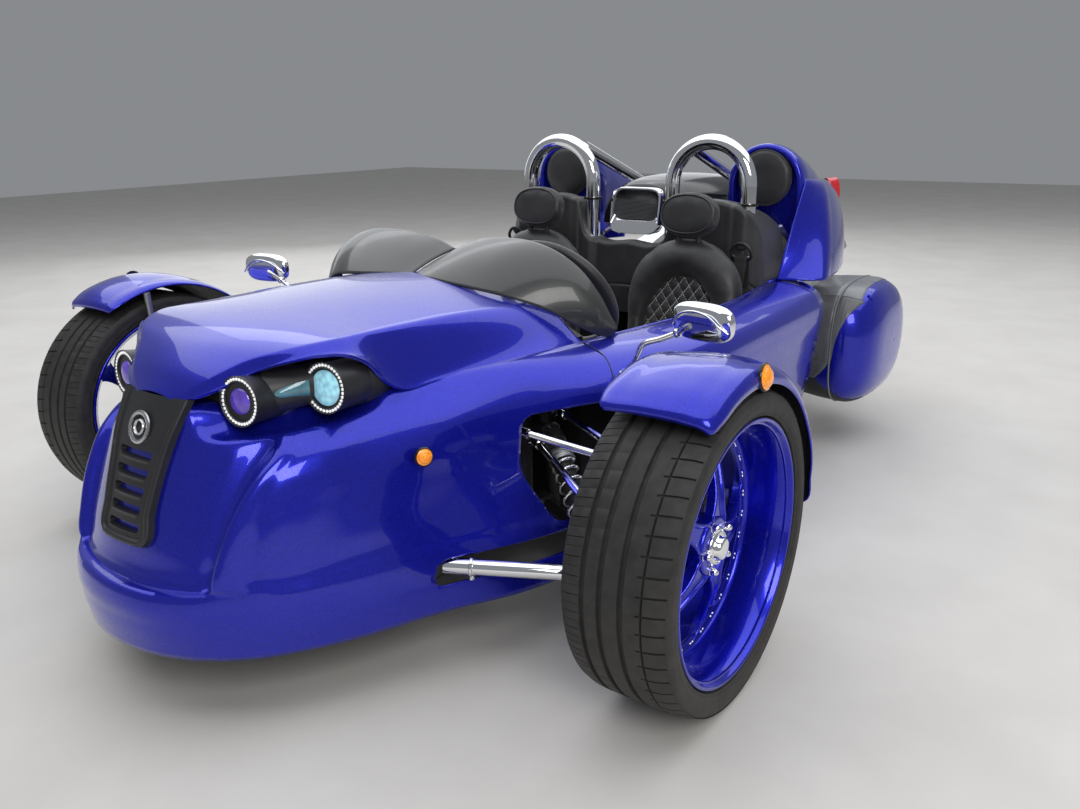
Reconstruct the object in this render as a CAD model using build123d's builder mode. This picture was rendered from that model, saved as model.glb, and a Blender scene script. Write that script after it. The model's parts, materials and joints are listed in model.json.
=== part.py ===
from build123d import *
import os
from math import cos, radians, sin

# An open two-seat roadster on three wheels: two steered wheels in front and one driven wheel
# behind. Millimetres. +X is the car's left, the nose faces -Y, +Z is up. The origin is on the
# ground, at the middle of the car's length. Lengthwise places are stations: distances behind
# the front axle.

os.makedirs("parts", exist_ok=True)

# Driving dimensions of the whole car
overall_length = 3470
nose_overhang = 716
wheelbase = 2270
half_track = 908
kingpin_x = 800
panel = 6
seat_gap = 0.4
running_gap = 6

# Front wheels
front_tyre_radius = 327.5
front_tyre_width = 222
front_rim_radius = 267
front_rim_width = 206
spoke_count = 5
front_disc_radius = 150

# Rear wheel
rear_tyre_radius = 332
rear_tyre_width = 280
rear_rim_width = 262
rear_disc_radius = 145

# Roll hoops
hoop_x = 294
hoop_bend = 136
hoop_tube = 50
hoop_top = 1075
hoop_station = 1310

front_axle_y = nose_overhang - overall_length / 2
rear_axle_y = front_axle_y + wheelbase
both_sides = (1, -1)


def at(x, station, z):
    """A point of the car, from its distance behind the front axle."""
    return Vector(x, front_axle_y + station, z)


def save(builder, label):
    """Label a finished piece and write it."""
    builder.part.label = label
    export_step(builder.part, f"parts/{label}.step")


def bar(start, end, radius):
    """A round bar between two points, to add or to cut."""
    place = Plane(origin=start, z_dir=end - start)
    align = (Align.CENTER, Align.CENTER, Align.MIN)
    return place * Cylinder(radius, (end - start).length, align=align, mode=Mode.PRIVATE)


def block(low, high):
    """A box between two corners, to add or to cut."""
    size = high - low
    align = (Align.MIN, Align.MIN, Align.MIN)
    return Pos(*low) * Box(size.X, size.Y, size.Z, align=align, mode=Mode.PRIVATE)


def ball(centre, radius):
    """A ball, to add or to cut."""
    return Pos(*centre) * Sphere(radius, mode=Mode.PRIVATE)


def upright_plane(station):
    """An upright plane across the car, whose x is the car's left and whose y is up."""
    return Plane(origin=at(0, station, 0), x_dir=(1, 0, 0), z_dir=(0, -1, 0))


# The front body's outline in plan at four heights. Columns: height, station of the nose, then
# x and station of the nose's corner, the flank, the hip beside the wheel, the door and the
# rear end.
body_rows = [
    (160, -690, 205, -642, 377, -441, 562, -50, 628, 560, 612, 1360),
    (285, -676, 215, -632, 372, -430, 548, -40, 648, 560, 642, 1375),
    (520, -600, 240, -505, 356, -345, 478, 30, 656, 560, 676, 1385),
    (612, -556, 150, -528, 330, -240, 395, 0, 545, 600, 640, 1400),
]
deck_z = body_rows[-1][0]


def body_outline(row, inset, drop):
    """One plan outline of the front body, moved in by inset and down by drop."""
    z, nose, corner_x, corner_s, flank_x, flank_s, hip_x, hip_s, door_x, door_s, tail_x, tail_s = row
    ends = {}
    for side in both_sides:
        ends[side] = [
            at(side * (corner_x - inset * 0.6), corner_s + inset, 0),
            at(side * (flank_x - inset), flank_s + inset * 0.5, 0),
            at(side * (hip_x - inset), hip_s, 0),
            at(side * (door_x - inset), door_s, 0),
            at(side * (tail_x - inset), tail_s - inset, 0),
        ]
    with BuildSketch(Plane.XY.offset(z - drop)) as outline:
        with BuildLine():
            ThreePointArc(ends[-1][0], at(0, nose + inset, 0), ends[1][0])
            for side in both_sides:
                corner, flank, hip, door, tail = ends[side]
                ThreePointArc(corner, flank, hip)
                ThreePointArc(hip, door, tail)
            Line(ends[1][4], ends[-1][4])
        make_face()
    return outline.sketch


# The hood's sections. Columns: station, half width, height of the edge, x and height of the
# shoulder, height of the crown on the centre line.
hood_rows = [
    (-548, 108, 624, 85, 634, 642),
    (-470, 192, 672, 160, 690, 702),
    (-380, 300, 704, 255, 722, 732),
    (-300, 335, 690, 285, 728, 742),
    (-200, 350, 645, 300, 722, 750),
    (0, 388, 634, 320, 722, 757),
    (300, 448, 626, 335, 702, 757),
]


def hood_section(row, inset):
    """One upright section of the hood: crown, shoulders and sides down to the deck."""
    station, half, edge, shoulder_x, shoulder_z, crown = row
    foot = deck_z + seat_gap - 2 * inset
    half -= inset
    with BuildSketch(upright_plane(station)) as section:
        with BuildLine():
            ThreePointArc(
                (-shoulder_x, shoulder_z - inset), (0, crown - inset), (shoulder_x, shoulder_z - inset)
            )
            for side in both_sides:
                Polyline(
                    (side * shoulder_x, shoulder_z - inset),
                    (side * (half + shoulder_x + inset) / 2, (edge + 2 * shoulder_z) / 3 - inset),
                    (side * half, edge - inset),
                    (side * half, foot),
                )
            Line((half, foot), (-half, foot))
        make_face()
    return section.sketch


# Headlamps. Columns: x, station and height of the lamp's face, radius of its ring. The inner
# lamp is the projector, the outer one the reflector.
lamp_rows = [
    (203, -512, 632, 52),
    (288, -375, 638, 55),
]
lamp_depth = 60
pod_radius = 46
recess_radius = 70
recess_front = (168, -570, 620)
recess_back = (318, -300, 640)


def lamp_recess(side, radius):
    """The long hollow that one side's pair of lamps sits in."""
    front = at(side * recess_front[0], *recess_front[1:])
    back = at(side * recess_back[0], *recess_back[1:])
    return bar(front, back, radius) + ball(back, radius)


# The cockpit's mouth in plan. Columns: station, half width.
mouth_rows = [(315, 432), (520, 470), (900, 520), (1180, 535), (1338, 500)]
floor_z = 130
tub_wall = 5
footwell_front = 140
footwell_half = 320


def mouth_outline(grow):
    """The cockpit's mouth as a closed outline, made larger by grow."""
    first, last = mouth_rows[0], mouth_rows[-1]
    rows = [(first[0] - grow, first[1] + grow)]
    rows += [(station, half + grow) for station, half in mouth_rows[1:-1]]
    rows += [(last[0] + grow, last[1] + grow)]
    left = [at(half, station, 0) for station, half in rows]
    right = [at(-half, station, 0) for station, half in reversed(rows)]
    return left + right


# The openings for the front suspension in the body's sides. Columns: station, height.
upper_opening = [(-30, 395), (0, 510), (390, 516), (340, 400), (235, 290), (20, 266)]
lower_opening = [(-265, 205), (-250, 260), (20, 252), (230, 256), (230, 215), (60, 205)]

# The grille's panel in the nose. Columns: station, height, half width.
grille_foot = (-676, 352, 84)
grille_head = (-560, 612, 98)
grille_thick = 18
grille_sink = 4
slot_count = 5

with BuildPart() as body_hollow:
    for index, row in enumerate(body_rows):
        add(body_outline(row, panel, (1, 0, panel, panel)[index]))
    loft(ruled=True)

with BuildPart() as hood_hollow:
    for row in hood_rows:
        add(hood_section(row, panel))
    loft(ruled=True)

with BuildPart() as hood:
    for row in hood_rows:
        add(hood_section(row, 0))
    loft(ruled=True)
    add(hood_hollow.part, mode=Mode.SUBTRACT)
    for side in both_sides:
        add(lamp_recess(side, recess_radius), mode=Mode.SUBTRACT)
save(hood, "hood")

grille_tilt = at(0, *grille_head[:2]) - at(0, *grille_foot[:2])
grille_normal = Vector(0, -grille_tilt.Z, grille_tilt.Y).normalized()
grille_origin = at(0, *grille_foot[:2]) - grille_normal * grille_sink
grille_plane = Plane(origin=grille_origin, x_dir=(1, 0, 0), z_dir=grille_normal)

with BuildPart() as body_shell:
    for row in body_rows:
        add(body_outline(row, 0, 0))
    loft(ruled=True)
    add(body_hollow.part, mode=Mode.SUBTRACT)
    # The splitter's ledge under the nose
    with BuildSketch(Plane.XY.offset(body_rows[0][0])):
        with BuildLine():
            tips = [at(side * 222, -640, 0) for side in both_sides]
            ThreePointArc(tips[1], at(0, -nose_overhang, 0), tips[0])
            ThreePointArc(tips[0], at(0, -660, 0), tips[1])
        make_face()
    extrude(amount=body_rows[1][0] - body_rows[0][0])
    # The cockpit's mouth, then the space under the hood
    with BuildSketch(Plane.XY.offset(deck_z - 30)):
        with BuildLine():
            Polyline(*mouth_outline(0), close=True)
        make_face()
    extrude(amount=60, mode=Mode.SUBTRACT)
    with BuildSketch(Plane.XY.offset(deck_z - 30)):
        with BuildLine():
            under = [(110, -500), (280, -240), (350, 0), (395, 260)]
            left = [at(x, station, 0) for x, station in under]
            right = [at(-x, station, 0) for x, station in reversed(under)]
            Polyline(*left, *right, close=True)
        make_face()
    extrude(amount=60, mode=Mode.SUBTRACT)
    # The lamps' recesses and the suspension's openings on both sides
    for side in both_sides:
        add(lamp_recess(side, recess_radius), mode=Mode.SUBTRACT)
    for opening in (upper_opening, lower_opening):
        with BuildSketch(Plane(origin=(0, 0, 0), x_dir=(0, 1, 0), z_dir=(1, 0, 0))):
            with BuildLine():
                Polyline(*[(front_axle_y + station, z) for station, z in opening], close=True)
            make_face()
        extrude(amount=900, both=True, mode=Mode.SUBTRACT)
    # The radiator's opening behind the grille
    with BuildSketch(grille_plane):
        with BuildLine():
            Polyline((-72, 14), (72, 14), (84, 262), (-84, 262), close=True)
        make_face()
    extrude(amount=60, both=True, mode=Mode.SUBTRACT)
save(body_shell, "body_shell")

with BuildPart() as grille:
    with BuildSketch(grille_plane):
        with BuildLine():
            Polyline(
                (-grille_foot[2], 0), (grille_foot[2], 0),
                (grille_head[2], grille_tilt.length), (-grille_head[2], grille_tilt.length),
                close=True,
            )
        make_face()
        for index in range(slot_count):
            with Locations((0, 42 + 34 * index)):
                SlotOverall(112 + 3 * index, 15, mode=Mode.SUBTRACT)
    extrude(amount=grille_thick)
    add(body_shell.part, mode=Mode.SUBTRACT)
save(grille, "grille_panel")

# The black tub inside the body: floor, footwell and cockpit walls, and the tunnel between the
# seats with the lever on top.
tub_top = deck_z - panel - seat_gap
footwell_top = 585
tunnel_top = 330
tub_low = [
    at(-footwell_half, footwell_front, floor_z),
    at(footwell_half, mouth_rows[0][0] + 40, footwell_top),
]

with BuildPart() as floor_tub:
    with BuildSketch(Plane.XY.offset(floor_z)):
        with BuildLine():
            Polyline(*mouth_outline(8), close=True)
        make_face()
    extrude(amount=tub_top - floor_z)
    add(block(*tub_low))
    with BuildSketch(Plane.XY.offset(floor_z + tub_wall)):
        with BuildLine():
            Polyline(*mouth_outline(8 - tub_wall), close=True)
        make_face()
    extrude(amount=tub_top, mode=Mode.SUBTRACT)
    wall = Vector(tub_wall, tub_wall, tub_wall)
    add(block(tub_low[0] + wall, tub_low[1] - Vector(tub_wall, 0, tub_wall)), mode=Mode.SUBTRACT)
    add(block(at(-75, 520, floor_z + 1), at(75, mouth_rows[-1][0] - 4, tunnel_top)))
    with BuildSketch(Plane.XY.offset(tunnel_top - 1)):
        with Locations(at(0, 640, 0)):
            RectangleRounded(90, 220, 20)
    extrude(amount=19)
    add(bar(at(0, 600, tunnel_top), at(0, 590, tunnel_top + 130), 8))
    add(ball(at(0, 590, tunnel_top + 138), 24))
save(floor_tub, "floor_tub")

# The dashboard under the screens, with the column's shroud.
steering_x = 270
column_eye = at(steering_x, 380, 636)
wheel_hub = at(steering_x, 460, 682)
column_axis = (wheel_hub - column_eye).normalized()
dash_back = 400

with BuildPart() as dashboard:
    with BuildSketch(upright_plane(mouth_rows[0][0] - 20)):
        with BuildLine():
            Polyline((-395, 590), (395, 590), (395, 612), (300, 664), (-300, 664), (-395, 612), close=True)
        make_face()
    with BuildSketch(upright_plane(dash_back)):
        with BuildLine():
            Polyline((-385, 560), (385, 560), (385, 600), (300, 640), (-300, 640), (-385, 600), close=True)
        make_face()
    loft(ruled=True)
    for x in (-steering_x, 0):
        add(bar(at(x, dash_back - 20, 606), at(x, dash_back + 12, 612), 38))
    add(bar(column_eye - column_axis * 40, wheel_hub - column_axis * 42, 32))
    add(body_shell.part, mode=Mode.SUBTRACT)
    add(floor_tub.part, mode=Mode.SUBTRACT)
save(dashboard, "dashboard")

# The steering wheel: rim, hub and three spokes.
wheel_radius = 178
wheel_grip = 15
steering_plane = Plane(origin=wheel_hub, x_dir=(1, 0, 0), z_dir=column_axis)

with BuildPart() as steering_wheel:
    with BuildSketch(Plane(origin=wheel_hub, x_dir=(1, 0, 0), z_dir=steering_plane.y_dir)):
        with Locations((wheel_radius - wheel_grip, 0)):
            Circle(wheel_grip)
    revolve(axis=Axis(wheel_hub, column_axis))
    with BuildSketch(steering_plane.offset(-12)):
        Circle(48)
        for turn in (0, 180, 270):
            with Locations(Rotation(0, 0, turn) * Pos(wheel_radius / 2 - 4, 0)):
                Rectangle(wheel_radius - 26, 34)
    extrude(amount=14)
    with BuildSketch(steering_plane.offset(2)):
        Circle(42)
    extrude(amount=22, taper=12)
    with BuildSketch(steering_plane.offset(-12)):
        Circle(24)
    extrude(amount=-29)
save(steering_wheel, "steering_wheel")

# The two smoked screens, one in front of each seat: shells that rise out of the hood and end
# in front of the dashboard. Columns: station, height of the inner edge, height of the crown,
# x and height of the outer edge.
screen_wall = 5
screen_centre = 238
screen_inner_x = 5
screen_rows = [
    (120, 696, 720, 404, 600),
    (250, 744, 794, 448, 630),
    (400, 780, 840, 480, 630),
]
screen_foot = 590
screen_rear = [(392, 612), (332, 840), (300, 900), (480, 900), (480, 560), (392, 560)]


def screen_section(row, inset):
    """One upright section of a screen's bubble, or of the space under it."""
    station, inner_z, crown, outer_x, outer_z = row
    inner_x = screen_inner_x - 4 * inset
    with BuildSketch(upright_plane(station)) as section:
        with BuildLine():
            inner = (screen_inner_x, inner_z - inset)
            outer = (outer_x - inset, outer_z)
            ThreePointArc(inner, (screen_centre, crown - inset), outer)
            foot = screen_foot - inset
            Polyline(outer, (outer_x - inset, foot), (inner_x, foot), (inner_x, inner_z - inset))
            if inset:
                Line((inner_x, inner_z - inset), inner)
        make_face()
    return section.sketch


with BuildPart() as screen_hollow:
    for row in screen_rows:
        add(screen_section(row, screen_wall))
    loft(ruled=True)

with BuildPart() as screen_left:
    for row in screen_rows:
        add(screen_section(row, 0))
    loft(ruled=True)
    add(screen_hollow.part, mode=Mode.SUBTRACT)
    with BuildSketch(Plane.YZ):
        with BuildLine():
            Polyline(*[(front_axle_y + station, z) for station, z in screen_rear], close=True)
        make_face()
    extrude(amount=600, mode=Mode.SUBTRACT)
    for below in (hood, hood_hollow, body_shell, dashboard, floor_tub):
        add(below.part, mode=Mode.SUBTRACT)

with BuildPart() as windscreens:
    add(screen_left.part)
    mirror(about=Plane.YZ)
save(windscreens, "windscreens")

# Lamp pods, rings and lenses on both sides.
lens_thick = 8
lamp_aim = Vector(0.28, -0.95, 0.1).normalized()


def lamp_places(side):
    """Each lamp's plane, with its z forwards and outwards, and its radius."""
    aim = Vector(side * lamp_aim.X, lamp_aim.Y, lamp_aim.Z)
    places = []
    for x, station, z, radius in lamp_rows:
        places.append((Plane(origin=at(side * x, station, z), x_dir=(0, 0, 1), z_dir=aim), radius))
    return places


with BuildPart() as lamp_pods:
    for side in both_sides:
        (inner, inner_radius), (outer, outer_radius) = lamp_places(side)
        start = inner.origin - inner.z_dir * lamp_depth
        end = outer.origin - outer.z_dir * lamp_depth
        add(bar(start, end, pod_radius) + ball(start, pod_radius) + ball(end, pod_radius))
        for place, radius in ((inner, inner_radius), (outer, outer_radius)):
            with BuildSketch(place.offset(-lamp_depth)):
                Circle(pod_radius)
            with BuildSketch(place.offset(-lens_thick)):
                Circle(radius)
            loft()
        for place, radius in ((inner, inner_radius), (outer, outer_radius)):
            with BuildSketch(place.offset(-lens_thick)):
                Circle(radius)
            extrude(amount=80, mode=Mode.SUBTRACT)
            with BuildSketch(place.offset(-lens_thick - 1)):
                Circle(radius)
                Circle(radius - 8, mode=Mode.SUBTRACT)
            extrude(amount=lens_thick + 3)
    add(hood.part, mode=Mode.SUBTRACT)
    add(body_shell.part, mode=Mode.SUBTRACT)
save(lamp_pods, "headlamp_pods")

with BuildPart() as lamp_lenses:
    for side in both_sides:
        for place, radius in lamp_places(side):
            with BuildSketch(place.offset(-lens_thick + seat_gap)):
                Circle(radius - 8 - seat_gap)
            extrude(amount=lens_thick)
save(lamp_lenses, "headlamp_lenses")

# Seats: a squab and a back with a bolster round its top, one pair.
seat_low_z = floor_z + tub_wall + seat_gap
seat_half = 182

with BuildPart() as seat_left:
    with BuildSketch(Plane.YZ.offset(hoop_x - seat_half)):
        with BuildLine():
            profile = [
                at(0, 560, seat_low_z), at(0, 560, 300), at(0, 600, 325), at(0, 950, 272),
                at(0, 1090, 700), at(0, 1120, 752), at(0, 1190, 760), at(0, 1235, 720),
                at(0, 1130, 330), at(0, 1100, seat_low_z),
            ]
            Polyline(*[(point.Y, point.Z) for point in profile], close=True)
        make_face()
    extrude(amount=2 * seat_half)
    # The back's arched top
    with BuildSketch(upright_plane(1080)):
        with BuildLine():
            ThreePointArc((hoop_x - seat_half - 1, 590), (hoop_x, 760), (hoop_x + seat_half + 1, 590))
            Polyline(
                (hoop_x + seat_half + 1, 590), (hoop_x + seat_half + 1, 900),
                (hoop_x - seat_half - 1, 900), (hoop_x - seat_half - 1, 590),
            )
        make_face()
    extrude(amount=200, both=True, mode=Mode.SUBTRACT)
    add(floor_tub.part, mode=Mode.SUBTRACT)

with BuildPart() as seats:
    add(seat_left.part)
    mirror(about=Plane.YZ)
save(seats, "seats")

# The moulded bulkhead behind the seats, from the deck up to the hoops' feet.
bulkhead_front = 1262
bulkhead_back = 1340.6
bulkhead_low = 470
bulkhead_top = 850

with BuildPart() as bulkhead:
    with BuildSketch(upright_plane(bulkhead_front)):
        with BuildLine():
            Polyline(
                (-480, bulkhead_low), (480, bulkhead_low), (486, 600), (455, 730), (400, bulkhead_top),
                (190, bulkhead_top), (150, 700), (-150, 700), (-190, bulkhead_top), (-400, bulkhead_top),
                (-455, 730), (-486, 600), close=True,
            )
        make_face()
    extrude(amount=bulkhead_front - bulkhead_back)
    with BuildSketch(Plane.XY.offset(bulkhead_low)):
        with Locations(at(0, bulkhead_back - 40, 0)):
            Rectangle(880, 68)
    extrude(amount=180, mode=Mode.SUBTRACT)

# The chromed roll hoops and the blue stays behind them.
hoop_foot = 640
stay_radius = 21
stay_top = at(212, hoop_station + 20, 1032)
stay_foot = at(219, 1760, 884)

with BuildPart() as hoop_left:
    straight_top = hoop_top - hoop_tube / 2 - hoop_bend
    with BuildLine() as hoop_path:
        inner = at(hoop_x - hoop_bend, hoop_station, hoop_foot)
        outer = at(hoop_x + hoop_bend, hoop_station, hoop_foot)
        rise = Vector(0, 0, straight_top - hoop_foot)
        Line(inner, inner + rise)
        ThreePointArc(inner + rise, at(hoop_x, hoop_station, straight_top + hoop_bend), outer + rise)
        Line(outer + rise, outer)
    with BuildSketch(Plane(origin=inner, z_dir=(0, 0, 1))):
        Circle(hoop_tube / 2)
    sweep(path=hoop_path.line)

with BuildPart() as roll_hoops:
    add(hoop_left.part)
    mirror(about=Plane.YZ)
save(roll_hoops, "roll_hoops")

with BuildPart() as stays:
    for side in both_sides:
        top = Vector(stay_top.X * side, stay_top.Y, stay_top.Z)
        foot = Vector(stay_foot.X * side, stay_foot.Y, stay_foot.Z)
        add(bar(top, foot, stay_radius))
    add(roll_hoops.part, mode=Mode.SUBTRACT)
save(stays, "hoop_stays")

with BuildPart(mode=Mode.PRIVATE) as hoop_sockets:
    for side in both_sides:
        for offset_x in (-hoop_bend, hoop_bend):
            x = side * (hoop_x + offset_x)
            low = at(x, hoop_station, hoop_foot)
            add(bar(low, at(x, hoop_station, bulkhead_top + 1), hoop_tube / 2 + seat_gap))

with BuildPart() as rear_bulkhead:
    add(bulkhead.part)
    add(hoop_sockets.part, mode=Mode.SUBTRACT)
    add(floor_tub.part, mode=Mode.SUBTRACT)
    add(body_shell.part, mode=Mode.SUBTRACT)
save(rear_bulkhead, "rear_bulkhead")

# Rear body: a hollow haunch on each side, rising from the deck to the tail lamp. Columns:
# height, station of the front edge inside and outside, x and station of the shoulder, x and
# station of the tail, x of the inner edge.
haunch_rows = [
    (deck_z + seat_gap, 1362, 1408, 610, 1700, 470, 2075, 510, 400),
    (760, 1500, 1530, 585, 1770, 462, 2095, 505, 385),
    (895, 1690, 1700, 500, 1860, 440, 2060, 455, 380),
]
haunch_front_x = 644


def haunch_outline(row, side, inset):
    """One plan outline of a haunch: curved outside, straight inside."""
    z, front_in, front_out, shoulder_x, shoulder_s, tail_x, tail_s, inner_front, inner_tail = row
    front_x = haunch_front_x - (z - deck_z) * 0.22
    with BuildSketch(Plane.XY.offset(z - inset)) as outline:
        with BuildLine():
            start = at(side * (front_x - inset), front_out + inset, 0)
            end = at(side * (tail_x - inset), tail_s - inset, 0)
            ThreePointArc(start, at(side * (shoulder_x - inset), shoulder_s, 0), end)
            reach = 200 if inset else 0
            Polyline(
                end,
                at(side * (inner_tail - reach), tail_s - inset, 0),
                at(side * (inner_front - reach), front_in + inset, 0),
                start,
            )
        make_face()
    return outline.sketch


with BuildPart() as haunch_hollow_left:
    for row in haunch_rows:
        add(haunch_outline(row, 1, panel))
    loft(ruled=True)

with BuildPart() as rear_haunch_left:
    for row in haunch_rows:
        add(haunch_outline(row, 1, 0))
    loft(ruled=True)
    add(haunch_hollow_left.part, mode=Mode.SUBTRACT)

with BuildPart() as rear_haunches:
    add(rear_haunch_left.part)
    mirror(about=Plane.YZ)
save(rear_haunches, "rear_haunches")

# The fairing behind each hoop: an arched face that carries the round pad, tapering rearwards.
# Columns: station, centre x, half width, foot height, top of the straight sides, crown.
face_recess = 24
fairing_rows = [
    (1512, 400, 132, 740, 905, 1036),
    (1640, 402, 116, 740, 890, 1010),
    (2040, 402, 52, 740, 800, 880),
]


def fairing_section(row, inset):
    """One upright section of a fairing: straight sides under an arch."""
    station, centre, half, foot, side_top, crown = row
    half -= inset
    foot -= inset
    with BuildSketch(upright_plane(station - (1 if inset else 0))) as section:
        with BuildLine():
            ThreePointArc((centre - half, side_top), (centre, crown - inset), (centre + half, side_top))
            Polyline(
                (centre + half, side_top), (centre + half, foot),
                (centre - half, foot), (centre - half, side_top),
            )
        make_face()
    return section.sketch


with BuildPart() as fairing_hollow:
    for row in fairing_rows:
        add(fairing_section(row, panel))
    loft(ruled=True)

with BuildPart() as fairing_left:
    for row in fairing_rows:
        add(fairing_section(row, 0))
    loft(ruled=True)
    add(fairing_hollow.part, mode=Mode.SUBTRACT)
    # The arched face, recessed behind the rim
    station, centre, half, foot, side_top, crown = fairing_rows[0]
    left, right = centre - half + 2, centre + half - 2
    with BuildSketch(upright_plane(station + face_recess)):
        with BuildLine():
            ThreePointArc((left, side_top), (centre, crown - 2), (right, side_top))
            Polyline((right, side_top), (right, foot + 2), (left, foot + 2), (left, side_top))
        make_face()
    extrude(amount=-panel)
    add(rear_haunch_left.part, mode=Mode.SUBTRACT)
    add(haunch_hollow_left.part, mode=Mode.SUBTRACT)

with BuildPart() as fairings:
    add(fairing_left.part)
    mirror(about=Plane.YZ)
save(fairings, "rear_fairings")

# Round pads on the fairings' faces, and the head rests on the seats.
pad_radius = 94
pad_thick = 42
pad_centre_x = 400
pad_centre_z = 928

with BuildPart() as round_pads:
    for side in both_sides:
        face = fairing_rows[0][0] + face_recess - seat_gap
        with BuildSketch(upright_plane(face)):
            with Locations((side * pad_centre_x, pad_centre_z)):
                Circle(pad_radius)
        extrude(amount=pad_thick)
    fillet(round_pads.edges().group_by(Axis.Y)[0], 16)

head_rest_z = 825
head_rest_station = 1186

with BuildPart() as head_rest_left:
    centre = at(hoop_x, head_rest_station, head_rest_z)
    with BuildSketch(Plane(origin=centre, x_dir=(1, 0, 0), z_dir=(0, -1, 0.22))):
        RectangleRounded(200, 140, 62)
    extrude(amount=52)
    fillet(head_rest_left.faces().sort_by(Axis.Y)[0].edges(), 14)
    for offset_x in (-45, 45):
        start = centre + Vector(offset_x, 4, -40)
        end = centre + Vector(offset_x, 24, -84)
        add(bar(start, end, 6))
    add(seat_left.part, mode=Mode.SUBTRACT)

with BuildPart() as head_pads:
    add(head_rest_left.part)
    mirror(about=Plane.YZ)
    add(round_pads.part)
save(head_pads, "head_pads")

# The black engine cover between the fairings, and the chromed intake in its front.
cover_rows = [(1366, 148, 770, 905), (1600, 200, 790, 926), (1960, 190, 760, 900)]
cover_foot = deck_z + seat_gap


def cover_section(row, inset):
    """One upright section of the engine cover."""
    station, half, side_top, crown = row
    half -= inset
    with BuildSketch(upright_plane(station + inset)) as section:
        with BuildLine():
            top = side_top - inset
            foot = cover_foot - inset
            ThreePointArc((-half, top), (0, crown - inset), (half, top))
            Polyline((half, top), (half, foot), (-half, foot), (-half, top))
        make_face()
    return section.sketch


with BuildPart() as cover_hollow:
    for row in cover_rows:
        add(cover_section(row, panel))
    loft(ruled=True)

intake_low = 742
intake_high = 893
intake_half = 96

with BuildPart() as engine_cover:
    for row in cover_rows:
        add(cover_section(row, 0))
    loft(ruled=True)
    add(cover_hollow.part, mode=Mode.SUBTRACT)
    with BuildSketch(upright_plane(1300)):
        with Locations((0, (intake_low + intake_high) / 2)):
            Rectangle(150, 108)
    extrude(amount=-120, mode=Mode.SUBTRACT)
save(engine_cover, "engine_cover")

with BuildPart() as intake:
    with BuildSketch(upright_plane(1340)):
        with Locations((0, (intake_low + intake_high) / 2)):
            RectangleRounded(2 * intake_half, intake_high - intake_low, 12)
            RectangleRounded(150, 108, 8, mode=Mode.SUBTRACT)
    extrude(amount=-(cover_rows[0][0] - seat_gap - 1340))
    with BuildSketch(upright_plane(1352)):
        with Locations((0, (intake_low + intake_high) / 2)):
            Rectangle(154, 112)
            with GridLocations(17, 15, 8, 6):
                Rectangle(11, 9, mode=Mode.SUBTRACT)
    extrude(amount=-5)
save(intake, "intake_frame")

# Wheels. A profile's points are (distance outboard of the wheel's middle, radius).
rim_wall = 6


def wheel_section(side, centre, turn=0):
    """A plane through an axle, x outboard and y up, or turned rearwards from there."""
    outboard = Vector(side, 0, 0)
    up = Vector(0, sin(radians(turn)), cos(radians(turn)))
    return Plane(origin=centre, x_dir=outboard, z_dir=outboard.cross(up))


def tyre_points(width, radius, lip):
    """A tyre's section: bead, sidewalls, shoulders and a nearly flat tread."""
    half = width / 2
    seat = lip - 12
    bead = half - 20
    right = [
        (bead, seat), (bead + 1, lip + 1), (half - 7, lip + 4), (half, lip + 22), (half, radius - 26),
        (half - 9, radius - 7), (half - 34, radius - 1.5),
    ]
    left = [(-outboard, height) for outboard, height in reversed(right)]
    return right + [(0, radius)] + left


def rim_points(width, lip):
    """A rim's barrel: flanges, bead seats and the well, one wall thick."""
    half = width / 2
    seat = lip - 12.4
    well = lip - 28
    outer = [
        (-half, lip), (10 - half, lip), (11 - half, seat), (40 - half, seat - 1), (54 - half, well),
        (half - 66, well), (half - 44, seat - 1), (half - 11, seat), (half - 10, lip), (half, lip),
    ]
    inner = [
        (half, lip - rim_wall), (half - 5, seat - rim_wall), (half - 40, seat - rim_wall - 1),
        (half - 62, well - rim_wall), (50 - half, well - rim_wall), (36 - half, seat - rim_wall - 1),
        (5 - half, seat - rim_wall), (-half, lip - rim_wall),
    ]
    return outer + inner


# Spoke sections from the hub to the barrel. Columns: radius, half width, middle outboard of
# the hub's face, thickness.
spoke_rows = [(36, 34, -16, 26), (110, 22, -16, 22), (190, 24, -40, 20), (238, 40, -52, 16)]
hub_radius = 62
lug_circle = 50
lug_count = 5


def spoke(side, centre, face, turn, barrel):
    """One spoke, standing up from the axle and then turned about it."""
    with BuildPart(mode=Mode.PRIVATE) as solid:
        for radius, half, middle, thick in spoke_rows:
            height = min(radius, barrel)
            place = centre + Vector(side * (face + middle), 0, height)
            with BuildSketch(Plane(origin=place, x_dir=(1, 0, 0), z_dir=(0, 0, 1))):
                Rectangle(thick, 2 * half)
        loft(ruled=True)
    return solid.part.rotate(Axis(centre, (1, 0, 0)), turn)


def make_rim(side, centre, width, lip, face, bore):
    """A wheel: barrel, five spokes, hub with its lugs and the cap."""
    axle = Axis(centre, (side, 0, 0))
    hub = Plane(origin=centre + Vector(side * face, 0, 0), x_dir=(0, 1, 0), z_dir=(side, 0, 0))
    barrel = lip - 28 - rim_wall / 2
    with BuildPart() as rim:
        with BuildSketch(wheel_section(side, centre)):
            with BuildLine():
                Polyline(*rim_points(width, lip), close=True)
            make_face()
        revolve(axis=axle)
        for index in range(spoke_count):
            add(spoke(side, centre, face, 36 + 360 / spoke_count * index, barrel))
        with BuildSketch(hub):
            Circle(hub_radius)
        extrude(amount=-34)
        with BuildSketch(hub.offset(-2)):
            with PolarLocations(lug_circle, lug_count):
                Circle(9)
        extrude(amount=14)
        with BuildSketch(hub.offset(-2)):
            Circle(34)
        extrude(amount=24, taper=14)
        with BuildSketch(hub.offset(-34)):
            Circle(bore)
        extrude(amount=26, mode=Mode.SUBTRACT)
    return rim.part


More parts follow.
